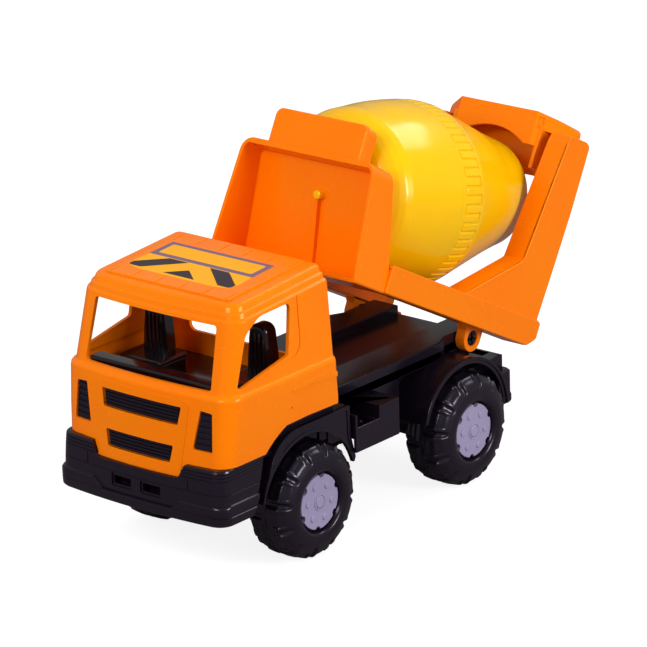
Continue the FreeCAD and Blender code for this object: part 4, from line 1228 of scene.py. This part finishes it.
def drum_front():
    """Front half: closed face with a shallow ring, rounded shoulder, barrel."""
    rows, angle = drum_skin(10.5, 69.0, False, 192)
    inner = [(69.0, 54.6), (46.0, 52.8), (26.0, 49.6), (16.0, 42.0), (12.8, 33.0), (12.8, 3.5),
             (10.5, 3.5), (10.5, 18.0)]
    stub = turn([(0.0, 0.0), (0.0, 2.3), (0.6, 2.9), (12.0, 2.9), (12.0, 0.0)], 40)
    disc = turn([(10.6, 0.0), (10.6, 6.0), (12.6, 6.0), (12.6, 0.0)], 40)
    return [skin_mesh(rows, angle, inner), stub, disc]


def drum_rear():
    """Rear half: interlocked band, cone, rounded end and stub."""
    rows, angle = drum_skin(69.05, 168.0, True, 1152)
    inner = [(168.0, 20.0), (168.0, 3.5), (165.8, 3.5), (165.8, 28.4), (162.0, 32.4),
             (100.0, 50.8), (88.0, 54.8), (69.05, 54.8)]
    stub = turn([(160.0, 0.0), (160.0, 2.9), (177.5, 2.9), (178.0, 2.4), (178.0, 0.0)], 40)
    disc = turn([(165.9, 0.0), (165.9, 6.0), (167.9, 6.0), (167.9, 0.0)], 40)
    return [skin_mesh(rows, angle, inner), stub, disc]


# ------------------------------------------------------------------ assembly

def in_frame(solids, matrix):
    return [moved(bm, matrix) for bm in solids]


def build():
    """Every shown piece, with its material, its body and the CAD nodes that it stands for."""
    piece("cab", cab_shell() + cab_posts(), ORANGE, "truck", ["cab_shell"], 30.0)
    piece("cab_seats_and_dash", cab_inside(), SEATS, "truck", ["cab_interior"])
    piece("grilles", grille(), BLACK, "truck", ["grille_insert"])
    backing, bar, ground, stripes = roof_label()
    piece("label_frame", backing, STRIPE_EDGE, "truck", ["roof_sticker"])
    piece("label_bar", bar, STRIPE_YELLOW, "truck", [])
    piece("label_ground", ground, STRIPE_YELLOW, "truck", [])
    piece("label_stripes", stripes, STRIPE_DARK, "truck", [])
    chassis = [bumper(), *paired(*front_corner()), *paired(*rear_corner()), *paired(*step_box())]
    chassis += [*deck(), *bearings(), tail(), *cab_base()]
    piece("truck_chassis", chassis, BLACK, "truck", ["chassis"])
    piece("screws", screws(), STEEL, "truck", ["cab_screws"])
    piece("snap_pins", hinge_pins(), BLACK, "truck", ["hinge_pins"])
    for name, y in (("front", FRONT_AXLE), ("rear", REAR_AXLE)):
        piece("clip_" + name, axle_clip(y), BLACK, "truck", ["axle_clip_" + name])
        body = name + "_wheels"
        shaft = rod("x", 2.0, -63.0, 63.0, (y, AXLE_Z), 32, 0.4)
        piece("shaft_" + name, [shaft], STEEL, body, [name + "_axle"])
        for suffix, side in (("right", 1), ("left", -1)):
            spot = shift(0, y, AXLE_Z)
            rubber = moved(tyre(side, 0.2), spot)
            label = "%s_%s" % (name, suffix)
            piece("wheel_" + label, [rubber], TYRE, body, ["tyre_" + label], 45.0)
            cap = moved(hub_cap(side), spot)
            piece("cap_" + label, [cap], GREY, body, ["hub_cap_" + label])
    tipping = [*paired(*body_side()), *body_front(), *hood()]
    solids = in_frame(tipping, BODY) + in_frame(bosses(), DRUM)
    piece("tipping_body", solids, ORANGE, "mixer_body", ["mixer_frame"])
    front = in_frame(drum_front(), DRUM)
    piece("drum_front_half", front, YELLOW, "drum", ["drum_front"], 50.0)
    rear = in_frame(drum_rear(), DRUM)
    piece("drum_rear_half", rear, YELLOW, "drum", ["drum_rear"], 50.0)


def lamp(name, place, size, power, colour, target=(0.0, 0.0, 0.09)):
    """A rectangular soft lamp that points at the toy."""
    data = bpy.data.lights.new(name, "AREA")
    data.shape = "RECTANGLE"
    data.size, data.size_y = size
    data.energy = power
    data.color = colour
    obj = bpy.data.objects.new(name, data)
    bpy.context.collection.objects.link(obj)
    obj.location = place
    aim = Vector(target) - Vector(place)
    obj.rotation_euler = aim.to_track_quat("-Z", "Y").to_euler()
    return obj


def pale_floor():
    """White to the camera with a faint shadow, and darker in the toy's own reflections."""
    n = Nodes("pale_floor")
    rays = n.tree.nodes.new("ShaderNodeLightPath").outputs
    tone = n.mix(n.noise(3.0), rgb(248, 248, 248), rgb(252, 252, 252))
    n.link(n.mix(rays["Is Camera Ray"], rgb(120, 112, 118), tone), n.shader.inputs["Base Color"])
    n.shader.inputs["Roughness"].default_value = 0.9
    glow = n.tree.nodes.new("ShaderNodeEmission")
    glow.inputs["Strength"].default_value = 1.2
    blend = n.tree.nodes.new("ShaderNodeMixShader")
    n.link(n.math("MULTIPLY", rays["Is Camera Ray"], 0.72), blend.inputs[0])
    n.link(n.shader.outputs[0], blend.inputs[1])
    n.link(glow.outputs[0], blend.inputs[2])
    n.link(blend.outputs[0], n.output.inputs[0])
    return n.material


def surround():
    """White behind the toy, soft light round it, nearly dark in glossy reflections."""
    world = bpy.data.worlds.new("surround")
    world.use_nodes = True
    tree = world.node_tree
    rays = tree.nodes.new("ShaderNodeLightPath").outputs
    strength = 0.62
    for name, change in (("Is Camera Ray", 0.4), ("Is Glossy Ray", -0.3)):
        node = tree.nodes.new("ShaderNodeMath")
        node.operation = "MULTIPLY_ADD"
        tree.links.new(rays[name], node.inputs[0])
        node.inputs[1].default_value = change
        if hasattr(strength, "links"):
            tree.links.new(strength, node.inputs[2])
        else:
            node.inputs[2].default_value = strength
        strength = node.outputs[0]
    background = tree.nodes["Background"]
    background.inputs[0].default_value = (1.0, 1.0, 1.0, 1.0)
    tree.links.new(strength, background.inputs[1])
    return world


def studio():
    """A pale floor, a white surround, soft lamps and the camera."""
    data = bpy.data.meshes.new("floor")
    far = 6.0
    data.from_pydata([(-far, -far, 0), (far, -far, 0), (far, far, 0), (-far, far, 0)], [],
                     [(0, 1, 2, 3)])
    floor = bpy.data.objects.new("floor", data)
    bpy.context.collection.objects.link(floor)
    data.materials.append(pale_floor())
    bpy.context.scene.world = surround()
    lamp("key", (0.1, -1.2, 0.85), (0.5, 0.4), 8.5, (1.0, 0.99, 0.97))
    lamp("right", (1.3, 0.1, 0.55), (0.45, 0.45), 10.5, (1.0, 1.0, 1.0))
    lamp("back", (0.2, 1.0, 1.1), (0.7, 0.4), 4.0, (1.0, 1.0, 1.0))
    camera = bpy.data.cameras.new("camera")
    camera.sensor_width = 36.0
    camera.lens = 255.5
    camera.clip_start, camera.clip_end = 0.1, 50.0
    obj = bpy.data.objects.new("camera", camera)
    bpy.context.collection.objects.link(obj)
    azimuth, elevation, roll = math.radians(40.19), math.radians(19.07), math.radians(-1.64)
    back = Vector((
        math.sin(azimuth) * math.cos(elevation),
        -math.cos(azimuth) * math.cos(elevation),
        math.sin(elevation),
    ))
    right = Vector((math.cos(azimuth), math.sin(azimuth), 0.0))
    up = back.cross(right)
    turned_right = math.cos(roll) * right + math.sin(roll) * up
    turned_up = -math.sin(roll) * right + math.cos(roll) * up
    matrix = Matrix((turned_right, turned_up, back)).transposed().to_4x4()
    matrix.translation = TRUCK @ Vector((1.66906, -1.96183, 1.00063))
    obj.matrix_world = matrix
    bpy.context.scene.camera = obj
    bpy.context.scene.view_settings.view_transform = "Standard"


build()
studio()
